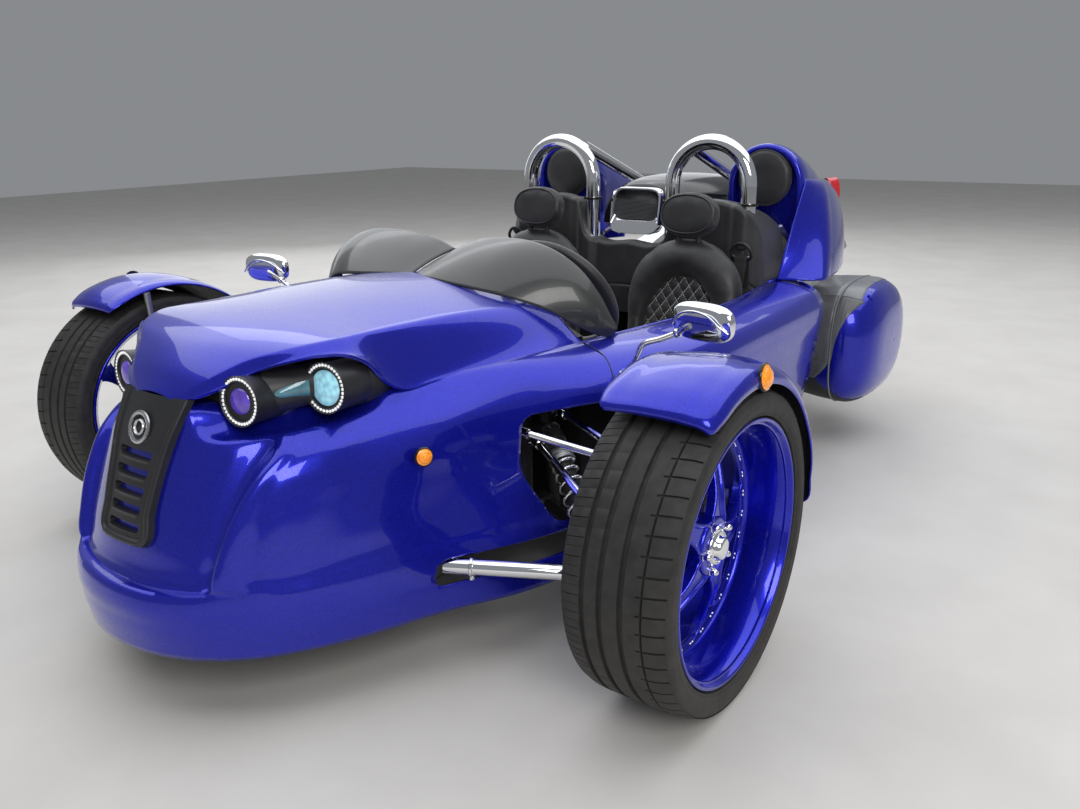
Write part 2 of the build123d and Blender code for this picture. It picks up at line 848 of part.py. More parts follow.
def make_disc(side, centre, inboard, radius, hat, bore, thick, reach):
    """A brake disc with its hat, bored for the spindle."""
    place = Plane(origin=centre + Vector(side * inboard, 0, 0), x_dir=(0, 1, 0), z_dir=(side, 0, 0))
    with BuildPart() as disc:
        with BuildSketch(place):
            Circle(radius)
            Circle(bore, mode=Mode.SUBTRACT)
        extrude(amount=thick)
        with BuildSketch(place.offset(thick)):
            Circle(hat)
            Circle(bore, mode=Mode.SUBTRACT)
        extrude(amount=reach)
        with BuildSketch(place):
            with PolarLocations((radius + hat) / 2, 12):
                Circle(7)
        extrude(amount=thick, mode=Mode.SUBTRACT)
    return disc.part


front_face = 45
spindle_radius = 22
spindle_gap = 0.9
front_bore = spindle_radius + spindle_gap
front_disc_inboard = -62
front_disc_thick = 18
front_hat_reach = front_face - 34 - front_disc_inboard - front_disc_thick - seat_gap
knuckle_outer = front_disc_inboard - running_gap

# Fender sections round the wheel. Columns: outboard place, radius.
fender_half = 112
fender_inner = fender_half + 16
fender_crown = 374
fender_edge = 360
fender_wall = 4
fender_front_turn = 26
fender_rear_turn = 93
fender_lamp_radius = 27

# Knuckle and steering arm places on the left side
ball_low_z = 236
ball_high_z = 440
arm_eye = (738, -104, 440)
stay_x = 782

for name, side in (("left", 1), ("right", -1)):
    centre = at(side * half_track, 0, front_tyre_radius)
    section = wheel_section(side, centre)
    axle = Axis(centre, (side, 0, 0))

    with BuildPart() as tyre_front:
        with BuildSketch(section):
            with BuildLine():
                Polyline(*tyre_points(front_tyre_width, front_tyre_radius, front_rim_radius), close=True)
            make_face()
        revolve(axis=axle)
    save(tyre_front, f"tyre_front_{name}")

    with BuildPart() as rim_front:
        add(make_rim(side, centre, front_rim_width, front_rim_radius, front_face, front_bore))
    save(rim_front, f"rim_front_{name}")

    with BuildPart() as disc_front:
        add(make_disc(
            side, centre, front_disc_inboard, front_disc_radius, 72, front_bore,
            front_disc_thick, front_hat_reach,
        ))
    save(disc_front, f"disc_front_{name}")

    with BuildPart() as knuckle:
        # The upright between the two ball joints, and the spindle
        kingpin_low = at(side * kingpin_x, 0, ball_low_z)
        kingpin_high = at(side * kingpin_x, 0, ball_high_z)
        add(bar(kingpin_low, kingpin_high, 20))
        inner = centre + Vector(side * (kingpin_x - half_track), 0, 0)
        outer = centre + Vector(side * knuckle_outer, 0, 0)
        add(bar(inner, outer, 44))
        add(bar(outer, centre + Vector(side * (front_face - 12), 0, 0), spindle_radius))
        # The steering arm to the tie rod's eye
        eye = at(side * arm_eye[0], *arm_eye[1:])
        add(bar(kingpin_high - Vector(0, 0, 12), eye - Vector(0, 0, 12), 11))
        add(bar(eye - Vector(0, 0, 24), eye, 17))
        # The brake caliper round the disc's rear edge
        reach = front_disc_radius
        low = centre + Vector(side * knuckle_outer, reach - 34, -45)
        high = centre + Vector(side * (knuckle_outer - 26), reach + 34, 45)
        add(block(Vector(min(low.X, high.X), low.Y, low.Z), Vector(max(low.X, high.X), high.Y, high.Z)))
        outboard = front_disc_inboard + front_disc_thick + running_gap
        bridge_low = centre + Vector(side * knuckle_outer, reach + running_gap, -45)
        bridge_high = centre + Vector(side * (outboard + 26), reach + 34, 45)
        add(block(
            Vector(min(bridge_low.X, bridge_high.X), bridge_low.Y, bridge_low.Z),
            Vector(max(bridge_low.X, bridge_high.X), bridge_high.Y, bridge_high.Z),
        ))
        finger_low = centre + Vector(side * outboard, reach - 34, -45)
        finger_high = centre + Vector(side * (outboard + 26), reach + 34, 45)
        add(block(
            Vector(min(finger_low.X, finger_high.X), finger_low.Y, finger_low.Z),
            Vector(max(finger_low.X, finger_high.X), finger_high.Y, finger_high.Z),
        ))
        bracket = at(side * kingpin_x, 0, front_tyre_radius)
        add(bar(bracket + Vector(side * 18, 0, 0), bracket + Vector(side * 18, reach - 10, 0), 16))
        # The fender's stay, up the tyre's inner side
        stay_low = at(side * (kingpin_x - 8), 0, front_tyre_radius + 60)
        stay_bend = at(side * stay_x, -60, front_tyre_radius + 130)
        stay_high = at(side * stay_x, -70, front_tyre_radius + fender_edge - fender_wall - 9)
        add(bar(stay_low, stay_bend, 9))
        add(ball(stay_bend, 9))
        add(bar(stay_bend, stay_high, 9))
    save(knuckle, f"knuckle_{name}")

    fender_start = fender_rear_turn if side > 0 else -fender_front_turn
    with BuildPart() as fender:
        with BuildSketch(wheel_section(side, centre, fender_start)):
            with BuildLine():
                ThreePointArc((-fender_inner, fender_edge), (0, fender_crown), (fender_half, fender_edge))
                Polyline(
                    (fender_half, fender_edge), (fender_half + 2, fender_edge - 12),
                    (fender_half - 2, fender_edge - 12),
                )
                ThreePointArc(
                    (fender_half - 2, fender_edge - 12), (0, fender_crown - fender_wall),
                    (-fender_inner, fender_edge - fender_wall),
                )
                Line((-fender_inner, fender_edge - fender_wall), (-fender_inner, fender_edge))
            make_face()
        revolve(axis=axle, revolution_arc=fender_front_turn + fender_rear_turn)
        # The amber lamp on the outer skirt
        lamp_at = at(side * (half_track + fender_half - 1), 30, front_tyre_radius + fender_edge - 14)
        with BuildSketch(Plane(origin=lamp_at, x_dir=(0, 1, 0), z_dir=(side, 0, 0))):
            Circle(fender_lamp_radius)
        extrude(amount=17, taper=16)
    save(fender, f"fender_{name}")

# Front suspension, on both sides: a lower and an upper wishbone, a sprung damper, and the
# places where they join the frame. The bosses at the wheel lie on the kingpin's axis.
boss_radius = 22
arm_radius = 17
lower_front_pivot = (430, -238, 240)
lower_rear_pivot = (430, 150, 240)
upper_front_pivot = (440, 20, 470)
upper_rear_pivot = (440, 200, 470)
damper_top = (452, 160, 430)
damper_foot = (655, 24, 256)
boss_gap = 0.3


def mirrored(point, side):
    """A point given on the car's left, on either side."""
    return at(side * point[0], point[1], point[2])


with BuildPart() as wishbones:
    for side in both_sides:
        boss = at(side * kingpin_x, 0, ball_low_z - boss_gap)
        add(bar(boss - Vector(0, 0, 38), boss, boss_radius))
        joint = boss - Vector(0, 0, 21)
        for pivot in (lower_front_pivot, lower_rear_pivot):
            eye = mirrored(pivot, side)
            add(bar(eye, joint, arm_radius))
            add(bar(eye - Vector(0, 26, 0), eye + Vector(0, 26, 0), boss_radius))
        foot = mirrored(damper_foot, side)
        add(bar(foot - Vector(0, 20, 30), foot + Vector(0, 20, -30), 12))
        # Struts from both arms to the damper's foot
        for pivot in (lower_front_pivot, lower_rear_pivot):
            eye = mirrored(pivot, side)
            add(bar(eye + (joint - eye) * 0.62, foot - Vector(0, 0, 30), 10))
        boss = at(side * kingpin_x, 0, ball_high_z + boss_gap)
        add(bar(boss, boss + Vector(0, 0, 30), boss_radius - 3))
        joint = boss + Vector(0, 0, 15)
        for pivot in (upper_front_pivot, upper_rear_pivot):
            eye = mirrored(pivot, side)
            add(bar(eye, joint, arm_radius - 5))
            add(bar(eye - Vector(0, 22, 0), eye + Vector(0, 22, 0), boss_radius - 5))
save(wishbones, "wishbones")

coil_count = 6
coil_radius = 32
damper_body = 22


def damper(top, foot):
    """A damper with its spring: a profile turned about the line from top to foot."""
    axis = foot - top
    length = axis.length
    collar = length * 0.3
    pitch = (length - collar - 34) / coil_count
    profile = [(0, 0), (damper_body, 0), (damper_body, collar)]
    profile += [(coil_radius, collar), (coil_radius, collar + 12)]
    for index in range(coil_count):
        start = collar + 12 + pitch * index
        profile += [(damper_body, start + 0.25 * pitch), (coil_radius, start + 0.5 * pitch)]
        profile += [(coil_radius, start + 0.75 * pitch)]
    profile += [(damper_body, length - 20), (9, length - 20), (9, length), (0, length)]
    across = axis.cross(Vector(0, 1, 0))
    place = Plane(origin=top, x_dir=across, z_dir=across.cross(axis))
    with BuildPart() as solid:
        with BuildSketch(place):
            with BuildLine():
                Polyline(*profile, close=True)
            make_face()
        revolve(axis=Axis(top, axis))
    return solid.part


with BuildPart() as dampers:
    for side in both_sides:
        top = mirrored(damper_top, side)
        foot = mirrored(damper_foot, side) - Vector(0, 0, 17)
        add(damper(top, foot))
        add(bar(top - Vector(0, 16, 0), top + Vector(0, 16, 0), 14))
    add(wishbones.part, mode=Mode.SUBTRACT)
save(dampers, "dampers")

# The steering rack behind the front axle, with a gaiter at each end of its housing, and the
# rod that slides in it with both tie rods. Each tie rod's eye lies just under the arm's.
rack_station = 96
rack_z = 420
rack_half = 330
rack_bore = 19
gaiter_length = 72
gaiter_rings = 5
gaiter_end = rack_half + gaiter_length
rack_travel = 50

with BuildPart() as rack_housing:
    add(bar(at(-rack_half, rack_station, rack_z), at(rack_half, rack_station, rack_z), 26))
    for side in both_sides:
        for index in range(gaiter_rings):
            ring = gaiter_length / gaiter_rings
            start = at(side * (rack_half + ring * index), rack_station, rack_z)
            step = Vector(side * ring, 0, 0)
            place = Plane(origin=start, z_dir=step)
            with BuildSketch(place):
                Circle(34)
            with BuildSketch(place.offset(ring)):
                Circle(27)
            loft()


with BuildPart() as tie_rods:
    reach = gaiter_end + rack_travel + 4
    add(bar(at(-reach, rack_station, rack_z), at(reach, rack_station, rack_z), 12))
    for side in both_sides:
        inner = at(side * reach, rack_station, rack_z)
        eye = at(side * arm_eye[0], arm_eye[1], arm_eye[2] - 24 - boss_gap)
        add(bar(inner - Vector(14, 0, 0), inner + Vector(14, 0, 0), 15))
        add(bar(inner, eye - Vector(0, 0, 11), 9))
        add(bar(eye - Vector(0, 0, 22), eye, 15))
save(tie_rods, "tie_rods")

# The frame: two lower rails, cross tubes, towers for the front suspension and the rear loop.
rail_x = 380
rail_z = 190
frame_tube = 19

with BuildPart() as frame_tubes:
    rails = [
        # start and end of each tube on the left side
        ((rail_x, -300, rail_z), (rail_x, 275, rail_z)),
        ((rail_x, -238, rail_z), (rail_x, -238, 330)),
        ((rail_x, 150, rail_z), (rail_x, 150, 480)),
        ((rail_x, 20, 330), (rail_x, 20, 480)),
        ((rail_x, -238, 330), (rail_x, 150, 480)),
        ((rail_x, 20, 480), (rail_x, 220, 480)),
        ((rail_x, 275, rail_z), (rail_x, 220, 480)),
    ]
    for side in both_sides:
        for start, end in rails:
            add(bar(mirrored(start, side), mirrored(end, side), frame_tube))
            add(ball(mirrored(start, side), frame_tube))
            add(ball(mirrored(end, side), frame_tube))
        for pivot in (lower_front_pivot, lower_rear_pivot):
            add(bar(at(side * rail_x, pivot[1], pivot[2]), mirrored(pivot, side), 16))
        for pivot in (upper_front_pivot, upper_rear_pivot):
            add(bar(at(side * rail_x, pivot[1], pivot[2]), mirrored(pivot, side), 12))
        add(bar(at(side * rail_x, damper_top[1], damper_top[2]), mirrored(damper_top, side), 12))
    for station in (-300, -110, 110):
        add(bar(at(-rail_x, station, rail_z), at(rail_x, station, rail_z), frame_tube))
    add(rack_housing.part)
    for carried in (wishbones, dampers, floor_tub):
        add(carried.part, mode=Mode.SUBTRACT)
    add(body_shell.part, mode=Mode.SUBTRACT)
    # The bore that the rack slides in, right through the housing and both gaiters
    bore_end = at(gaiter_end + 1, rack_station, rack_z)
    add(bar(at(-gaiter_end - 1, rack_station, rack_z), bore_end, rack_bore), mode=Mode.SUBTRACT)
save(frame_tubes, "front_frame")

# The rear frame behind the cockpit: two pairs of rails, uprights, and the arms that carry the
# side cases.
rear_rail_x = 262
rear_high_z = 560
rear_low_z = 200
swing_pivot = (0, 1720, 332)
case_inner_x = 505
case_stations = (1640, 1890)
rear_start = body_rows[-1][-1] + 22

boss_size = 14


def back_wall(height):
    """The station of the body's back wall at a height."""
    for low, high in zip(body_rows, body_rows[1:]):
        if low[0] <= height <= high[0]:
            share = (height - low[0]) / (high[0] - low[0])
            wall = low[-1] + share * (high[-1] - low[-1])
    return wall


rear_tube = 16
collar_half = 24
rear_joints = [
    # station and height
    (rear_start, rear_low_z), (rear_start, rear_high_z), (1720, rear_low_z), (1720, rear_high_z),
    (1850, rear_high_z), (1990, rear_high_z),
]

with BuildPart() as rear_frame:
    for height in (rear_low_z, rear_high_z):
        for station in (rear_start, 1720):
            left = at(rear_rail_x, station, height)
            add(bar(Vector(-left.X, left.Y, left.Z), left, rear_tube))
    left = at(rear_rail_x, 1850, rear_high_z)
    add(bar(Vector(-left.X, left.Y, left.Z), left, rear_tube))
    tubes = [
        # start and end of each tube on the left side
        ((rear_rail_x, rear_start, rear_high_z), (rear_rail_x, 1990, rear_high_z)),
        ((rear_rail_x, rear_start, rear_low_z), (rear_rail_x, 1720, rear_low_z)),
        ((rear_rail_x, rear_start, rear_low_z), (rear_rail_x, rear_start, rear_high_z)),
        ((rear_rail_x, 1720, rear_low_z), (rear_rail_x, 1720, rear_high_z)),
    ]
    for side in both_sides:
        for start, end in tubes:
            add(bar(mirrored(start, side), mirrored(end, side), rear_tube))
        # Collars where the tubes meet
        for station, height in rear_joints:
            start = at(side * (rear_rail_x - collar_half), station, height)
            end = at(side * (rear_rail_x + collar_half), station, height)
            add(bar(start, end, rear_tube + 3))
        # Arms for the haunch and the side case
        for station in (1450, 1930):
            start = at(side * rear_rail_x, station, rear_high_z)
            add(bar(start, start + Vector(side * 150, 0, 30), rear_tube - 3))
        for station in case_stations:
            start = at(side * rear_rail_x, station, rear_high_z)
            end = at(side * (case_inner_x - seat_gap), station, 440)
            add(bar(start, end - Vector(side * 20, 0, 0), 11))
            add(bar(end - Vector(side * 22, 0, 0), end, 17))
        # Bosses against the body's back wall
        for height in (rear_low_z + 40, rear_high_z - 60):
            wall = back_wall(height + boss_size) + seat_gap
            front = at(side * rear_rail_x, wall, height)
            add(bar(front, at(side * rear_rail_x, rear_start, height), boss_size))
save(rear_frame, "rear_frame")

engine_station = 1596

# The engine: crankcase, gearbox and two finned cylinders in a V.
with BuildPart() as engine:
    add(block(at(-185, 1488, 228), at(185, 1690, 400)))
    chamfer(engine.edges().filter_by(Axis.X), 34)
    foot = at(0, engine_station, 330)
    for lean in (-26, 26):
        direction = Vector(0, sin(radians(lean)), cos(radians(lean)))
        add(bar(foot, foot + direction * 216, 50))
        for index in range(6):
            start = foot + direction * (92 + 17 * index)
            add(bar(start, start + direction * 7, 64))
        add(bar(foot + direction * 188, foot + direction * 214, 60))
    for side in both_sides:
        add(bar(at(side * 180, 1560, 314), at(side * 206, 1560, 314), 62))
save(engine, "engine")

# The swingarm, its pivot tube and the axle.
arm_x = 192
arm_width = 30
axle_radius = 12

with BuildPart() as swingarm:
    pivot = at(*swing_pivot)
    axle_at = at(0, wheelbase, rear_tyre_radius)
    across = Vector(rear_rail_x, 0, 0)
    add(bar(pivot - across, pivot + across, 24))
    for side in both_sides:
        with BuildSketch(Plane.YZ.offset(side * arm_x - arm_width / 2)):
            with BuildLine():
                back = Vector(axle_at.Y, axle_at.Z)
                front = Vector(pivot.Y, pivot.Z)
                Polyline(
                    front + Vector(0, -34), back + Vector(0, -22), back + Vector(42, -22),
                    back + Vector(42, 22), back + Vector(0, 22), front + Vector(0, 40), close=True,
                )
            make_face()
        extrude(amount=arm_width)
        nut = axle_at + Vector(side * (arm_x + 10), 0, 0)
        add(bar(nut, nut + Vector(side * 16, 0, 0), 22))
    add(bar(axle_at - Vector(arm_x, 0, 0), axle_at + Vector(arm_x, 0, 0), axle_radius))
    add(rear_frame.part, mode=Mode.SUBTRACT)
save(swingarm, "swingarm")

rear_centre = at(0, wheelbase, rear_tyre_radius)
rear_lip = 267
rear_face = 60
rear_disc_inboard = -112
rear_hat_reach = rear_face - 34 - rear_disc_inboard - 16 - seat_gap
pulley_x = -172
pulley_radius = 96
belt_width = 22
belt_thick = 7
engine_pulley = (1620, 330, 42)

with BuildPart() as tyre_rear:
    with BuildSketch(wheel_section(1, rear_centre)):
        with BuildLine():
            Polyline(*tyre_points(rear_tyre_width, rear_tyre_radius, rear_lip), close=True)
        make_face()
    revolve(axis=Axis(rear_centre, (1, 0, 0)))
save(tyre_rear, "tyre_rear")

with BuildPart() as rim_rear:
    add(make_rim(1, rear_centre, rear_rim_width, rear_lip, rear_face, axle_radius + spindle_gap))
    with BuildSketch(Plane(origin=rear_centre, x_dir=(0, 1, 0), z_dir=(1, 0, 0))):
        Circle(axle_radius + spindle_gap)
    extrude(amount=200, both=True, mode=Mode.SUBTRACT)
save(rim_rear, "rim_rear")

with BuildPart() as disc_rear:
    add(make_disc(
        1, rear_centre, rear_disc_inboard, rear_disc_radius, 62, axle_radius + spindle_gap,
        16, rear_hat_reach,
    ))
save(disc_rear, "disc_rear")

# The belt drive on the car's right: the wheel's pulley and the belt to the engine.
with BuildPart() as rear_pulley:
    place = Plane(origin=rear_centre + Vector(pulley_x, 0, 0), x_dir=(0, 1, 0), z_dir=(1, 0, 0))
    with BuildSketch(place):
        Circle(pulley_radius)
        Circle(axle_radius + spindle_gap, mode=Mode.SUBTRACT)
    extrude(amount=belt_width)
    with BuildSketch(place.offset(belt_width - 1)):
        Circle(50)
        Circle(axle_radius + spindle_gap, mode=Mode.SUBTRACT)
    extrude(amount=rear_disc_inboard - pulley_x - belt_width + 1 - seat_gap)
save(rear_pulley, "rear_pulley")

with BuildPart() as drive_belt:
    front = at(pulley_x, *engine_pulley[:2])
    with BuildSketch(Plane(origin=(pulley_x, 0, 0), x_dir=(0, 1, 0), z_dir=(1, 0, 0))):
        for gap, mode in ((1 + belt_thick, Mode.ADD), (1, Mode.SUBTRACT)):
            with BuildSketch(mode=mode):
                with Locations((rear_centre.Y, rear_centre.Z)):
                    Circle(pulley_radius + gap)
                with Locations((front.Y, front.Z)):
                    Circle(engine_pulley[2] + gap)
                make_hull()
    extrude(amount=belt_width)
    with BuildSketch(Plane(origin=(pulley_x, front.Y, front.Z), x_dir=(0, 1, 0), z_dir=(1, 0, 0))):
        Circle(engine_pulley[2] + 2)
    extrude(amount=belt_width)
    add(bar(front + Vector(belt_width - 1, 0, 0), front + Vector(belt_width + 20, 0, 0), 20))
    add(engine.part, mode=Mode.SUBTRACT)
save(drive_belt, "drive_belt")

# The hugging fender over the rear wheel, with the bare plate's bracket behind it.
hugger_half = 152
hugger_inner = rear_tyre_radius + 18
hugger_turns = (-48, 96)
plate_back = overall_length - nose_overhang
plate_holes = 146

with BuildPart() as rear_fender:
    with BuildSketch(wheel_section(1, rear_centre, hugger_turns[1])):
        with BuildLine():
            ThreePointArc((-hugger_half, hugger_inner), (0, hugger_inner + 22), (hugger_half, hugger_inner))
            Line((hugger_half, hugger_inner), (hugger_half, hugger_inner + 5))
            ThreePointArc(
                (hugger_half, hugger_inner + 5), (0, hugger_inner + 27), (-hugger_half, hugger_inner + 5)
            )
            Line((-hugger_half, hugger_inner + 5), (-hugger_half, hugger_inner))
        make_face()
    revolve(axis=Axis(rear_centre, (1, 0, 0)), revolution_arc=hugger_turns[1] - hugger_turns[0])
save(rear_fender, "rear_fender")

with BuildPart() as fender_stays:
    for side in both_sides:
        low = rear_centre + Vector(side * (arm_x + arm_width / 2 + seat_gap), -60, 10)
        high = rear_centre + Vector(side * (hugger_half + 7.2), -60, hugger_inner + 2)
        step = Vector(side * 5, 0, 0)
        with BuildSketch(Plane(origin=low, x_dir=(0, 1, 0), z_dir=(side, 0, 0))):
            Rectangle(26, 60)
        extrude(amount=5)
        add(bar(low + step + Vector(0, 0, 24), high, 7))
    plate_foot = rear_centre + Vector(0, hugger_inner + 26.4, 40)
    face = at(0, plate_back, rear_tyre_radius + 150)
    add(block(Vector(-90, face.Y - 6, face.Z - 70), Vector(90, face.Y, face.Z + 70)))
    for x in (-50, 50):
        add(bar(Vector(x, plate_foot.Y, plate_foot.Z), Vector(x, face.Y - 3, face.Z - 40), 8))
    with BuildSketch(Plane(origin=face, x_dir=(1, 0, 0), z_dir=(0, -1, 0))):
        with Locations((-plate_holes / 2, 50), (plate_holes / 2, 50)):
            Circle(3.5)
    extrude(amount=6, mode=Mode.SUBTRACT)
save(fender_stays, "fender_stays")

# Silencers below the haunches, with bored tips.
with BuildPart() as silencers:
    for side in both_sides:
        front = at(side * 392, 1700, 440)
        back = at(side * 398, 2290, 606)
        along = (back - front).normalized()
        add(bar(front, back, 54))
        add(bar(front - along * 60, front, 30))
        add(bar(at(side * 150, 1600, 385), front - along * 50, 24))
        add(ball(front - along * 50, 26))
        add(bar(back - along * 160, back + along * 1, 42), mode=Mode.SUBTRACT)
    add(engine.part, mode=Mode.SUBTRACT)
    add(rear_frame.part, mode=Mode.SUBTRACT)
save(silencers, "silencers")

# Side cases with hinged outer lids.
case_split_x = 655
case_outer_x = 792
case_station = 1800
case_z = 350
case_length = 510
case_height = 430
case_wall = 5
case_hinge_z = 118

# Outlines of a case from its inner face to its lid's outer face. Columns: x, how much shorter
# and lower than the case, corner radius.
case_rows = [
    (case_inner_x, 60, 50, 90),
    (case_split_x, 0, 0, 120),
    (case_outer_x, 170, 170, 110),
]


def case_plane(side, x):
    """The upright plane of a case's outline at x, facing outboard."""
    return Plane(origin=at(side * x, case_station, case_z), x_dir=(0, 1, 0), z_dir=(side, 0, 0))


def case_outline(side, row, inset, push):
    """One outline of a case, moved in by inset and outboard by push."""
    x, shorter, lower, corner = row
    with BuildSketch(case_plane(side, x + push)) as outline:
        RectangleRounded(
            case_length - shorter - 2 * inset, case_height - lower - 2 * inset, corner - inset
        )
    return outline.sketch


for name, side in (("left", 1), ("right", -1)):
    with BuildPart() as case:
        add(case_outline(side, case_rows[0], 0, 0))
        add(case_outline(side, case_rows[1], 0, 0))
        loft()
        add(case_outline(side, case_rows[0], case_wall, case_wall))
        add(case_outline(side, case_rows[1], case_wall, 1))
        loft(mode=Mode.SUBTRACT)
        for offset_y in (-70, 70):
            eye = at(side * case_split_x, case_station + offset_y, case_hinge_z)
            add(bar(eye - Vector(0, 14, 0), eye + Vector(0, 14, 0), 8))
            add(block(
                Vector(min(eye.X, eye.X - side * 20), eye.Y - 14, eye.Z),
                Vector(max(eye.X, eye.X - side * 20), eye.Y + 14, eye.Z + 24),
            ))
            pin_end = eye + Vector(0, 14.5 if offset_y > 0 else -14.5, 0)
            pin_start = eye - Vector(0, 14.5 if offset_y > 0 else -14.5, 0)
            add(bar(pin_start, pin_end, 4.2), mode=Mode.SUBTRACT)
    save(case, f"side_case_{name}")

    with BuildPart() as lid:
        add(case_outline(side, case_rows[1], 0, seat_gap))
        add(case_outline(side, case_rows[2], 0, 0))
        loft()
        add(case_outline(side, case_rows[1], case_wall, 0))
        add(case_outline(side, case_rows[2], case_wall, -case_wall))
        loft(mode=Mode.SUBTRACT)
        hinge = at(side * case_split_x, case_station, case_hinge_z)
        add(bar(hinge - Vector(0, 55, 0), hinge + Vector(0, 55, 0), 8))
        add(bar(hinge - Vector(0, 80, 0), hinge + Vector(0, 80, 0), 4))
        add(block(
            Vector(min(hinge.X, hinge.X + side * 14), hinge.Y - 50, hinge.Z),
            Vector(max(hinge.X, hinge.X + side * 14), hinge.Y + 50, hinge.Z + 30),
        ))
        add(block(
            Vector(min(hinge.X - side * 9, hinge.X + side * seat_gap), hinge.Y - 56, hinge.Z + 8.2),
            Vector(max(hinge.X - side * 9, hinge.X + side * seat_gap), hinge.Y + 56, hinge.Z + 31),
        ), mode=Mode.SUBTRACT)
    save(lid, f"case_lid_{name}")

# Mirrors on chromed arms. Rows of a housing: distance in front of the glass, width, height,
# corner radius.
mirror_rows = [(0, 168, 92, 40), (22, 168, 92, 40), (42, 116, 50, 22)]

with BuildPart() as mirror_left:
    foot = at(566, 330, 553)
    joint = at(690, 330, 660)
    centre = at(752, 334, 692)
    glass = Plane(origin=centre, x_dir=(1, 0, 0), z_dir=(0, -1, 0))
    for forward, width, height, corner in mirror_rows:
        with BuildSketch(glass.offset(forward)):
            RectangleRounded(width, height, corner)
    loft(ruled=True)
    add(bar(foot, joint, 6))
    add(ball(joint, 13))
    add(bar(joint, centre + Vector(0, -10, 0), 6))
    with BuildSketch(Plane.XY.offset(foot.Z - 27)):
        with Locations((foot.X, foot.Y)):
            Circle(16)
    extrude(amount=34)
    add(body_shell.part, mode=Mode.SUBTRACT)
    add(body_hollow.part, mode=Mode.SUBTRACT)

with BuildPart() as mirrors:
    add(mirror_left.part)
    mirror(about=Plane.YZ)
save(mirrors, "mirrors")

# Small lamps: amber markers on the flanks, red lamps on the haunches' tails.
with BuildPart() as side_markers:
    for side in both_sides:
        aim = Vector(side, -0.45, 0.12).normalized()
        foot = at(side * 424, -252, 486)
        add(bar(foot - aim * 14, foot + aim * 12, 19))
    add(body_hollow.part, mode=Mode.SUBTRACT)
    add(body_shell.part, mode=Mode.SUBTRACT)

with BuildPart() as haunch_hollows:
    add(haunch_hollow_left.part)
    mirror(about=Plane.YZ)

with BuildPart() as tail_lamps:
    for side in both_sides:
        low = at(side * 452, 2040, 800)
        high = at(side * 440, 2030, 880)
        add(bar(low, high, 30))
        add(ball(low, 30) + ball(high, 30))
    add(rear_haunches.part, mode=Mode.SUBTRACT)
    add(haunch_hollows.part, mode=Mode.SUBTRACT)
    add(side_markers.part)
save(tail_lamps, "body_lamps")

# Seat belts beside the seats: a guide on the bulkhead and the strap below it.
with BuildPart() as seat_belts:
    for side in both_sides:
        guide = at(side * 452, bulkhead_front - seat_gap, 706)
        add(bar(guide - Vector(0, 26, 0), guide, 20))
        low = at(side * 452 - 22, bulkhead_front - 26, 560)
        add(block(low, low + Vector(44, 4, 140)))
save(seat_belts, "seat_belts")
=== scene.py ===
# %% [markdown]
# # A three wheeled roadster, dressed for its picture
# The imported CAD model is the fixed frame. Every visible form below is a surface made from a short
# table or a formula, so each cell shows one way of turning numbers into a shape.

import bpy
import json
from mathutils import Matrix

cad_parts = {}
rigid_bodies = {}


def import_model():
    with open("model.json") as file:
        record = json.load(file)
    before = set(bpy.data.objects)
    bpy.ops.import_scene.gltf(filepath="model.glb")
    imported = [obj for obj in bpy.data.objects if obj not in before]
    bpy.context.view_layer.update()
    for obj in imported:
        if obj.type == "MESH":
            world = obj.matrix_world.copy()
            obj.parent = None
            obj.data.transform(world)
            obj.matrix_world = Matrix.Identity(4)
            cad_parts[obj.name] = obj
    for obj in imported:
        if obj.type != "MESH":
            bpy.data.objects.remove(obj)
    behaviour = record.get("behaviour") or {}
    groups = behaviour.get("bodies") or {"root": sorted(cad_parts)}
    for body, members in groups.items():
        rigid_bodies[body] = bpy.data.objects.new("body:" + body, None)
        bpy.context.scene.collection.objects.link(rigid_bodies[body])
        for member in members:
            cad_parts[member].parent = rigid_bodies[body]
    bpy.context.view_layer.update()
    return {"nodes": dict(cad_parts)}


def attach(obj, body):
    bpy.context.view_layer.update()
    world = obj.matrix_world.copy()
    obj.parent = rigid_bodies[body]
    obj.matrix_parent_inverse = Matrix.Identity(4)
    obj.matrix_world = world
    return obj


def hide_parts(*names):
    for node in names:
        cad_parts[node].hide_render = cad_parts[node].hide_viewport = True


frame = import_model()

import json
import math

import bpy
import numpy as np
from mathutils import Matrix, Vector

scene = bpy.context.scene
nodes = frame["nodes"]
TAU = 2 * math.pi
LEFT_RIGHT = (("left", 1), ("right", -1))
# Millimetres from the front axle back to the frame's origin
FRONT_AXLE = 1019


def S(station):
    """Metres along Y of a place given in millimetres behind the front axle."""
    return (np.asarray(station, float) - FRONT_AXLE) / 1000


def at(x, station, z):
    """A point in metres from millimetres: x, distance behind the front axle, height."""
    return Vector((x / 1000, (station - FRONT_AXLE) / 1000, z / 1000))


def point(x, station, z):
    """The same point as an array."""
    return np.array(at(x, station, z))


def metres(table):
    """A table of (x, station, height) in millimetres as points in metres."""
    table = np.asarray(table, float)
    return np.stack([table[..., 0] / 1000, S(table[..., 1]), table[..., 2] / 1000], axis=-1)


def unit(way):
    """A direction of length 1."""
    return np.asarray(way, float) / np.linalg.norm(way)


def signed_power(value, power):
    """sign(v) |v|^p, which turns a circle into a superellipse."""
    return np.sign(value) * np.abs(value) ** power


def fit(body, slot, *pieces):
    """Let pieces ride a body. The slot is not used."""
    for piece in pieces:
        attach(piece, body)


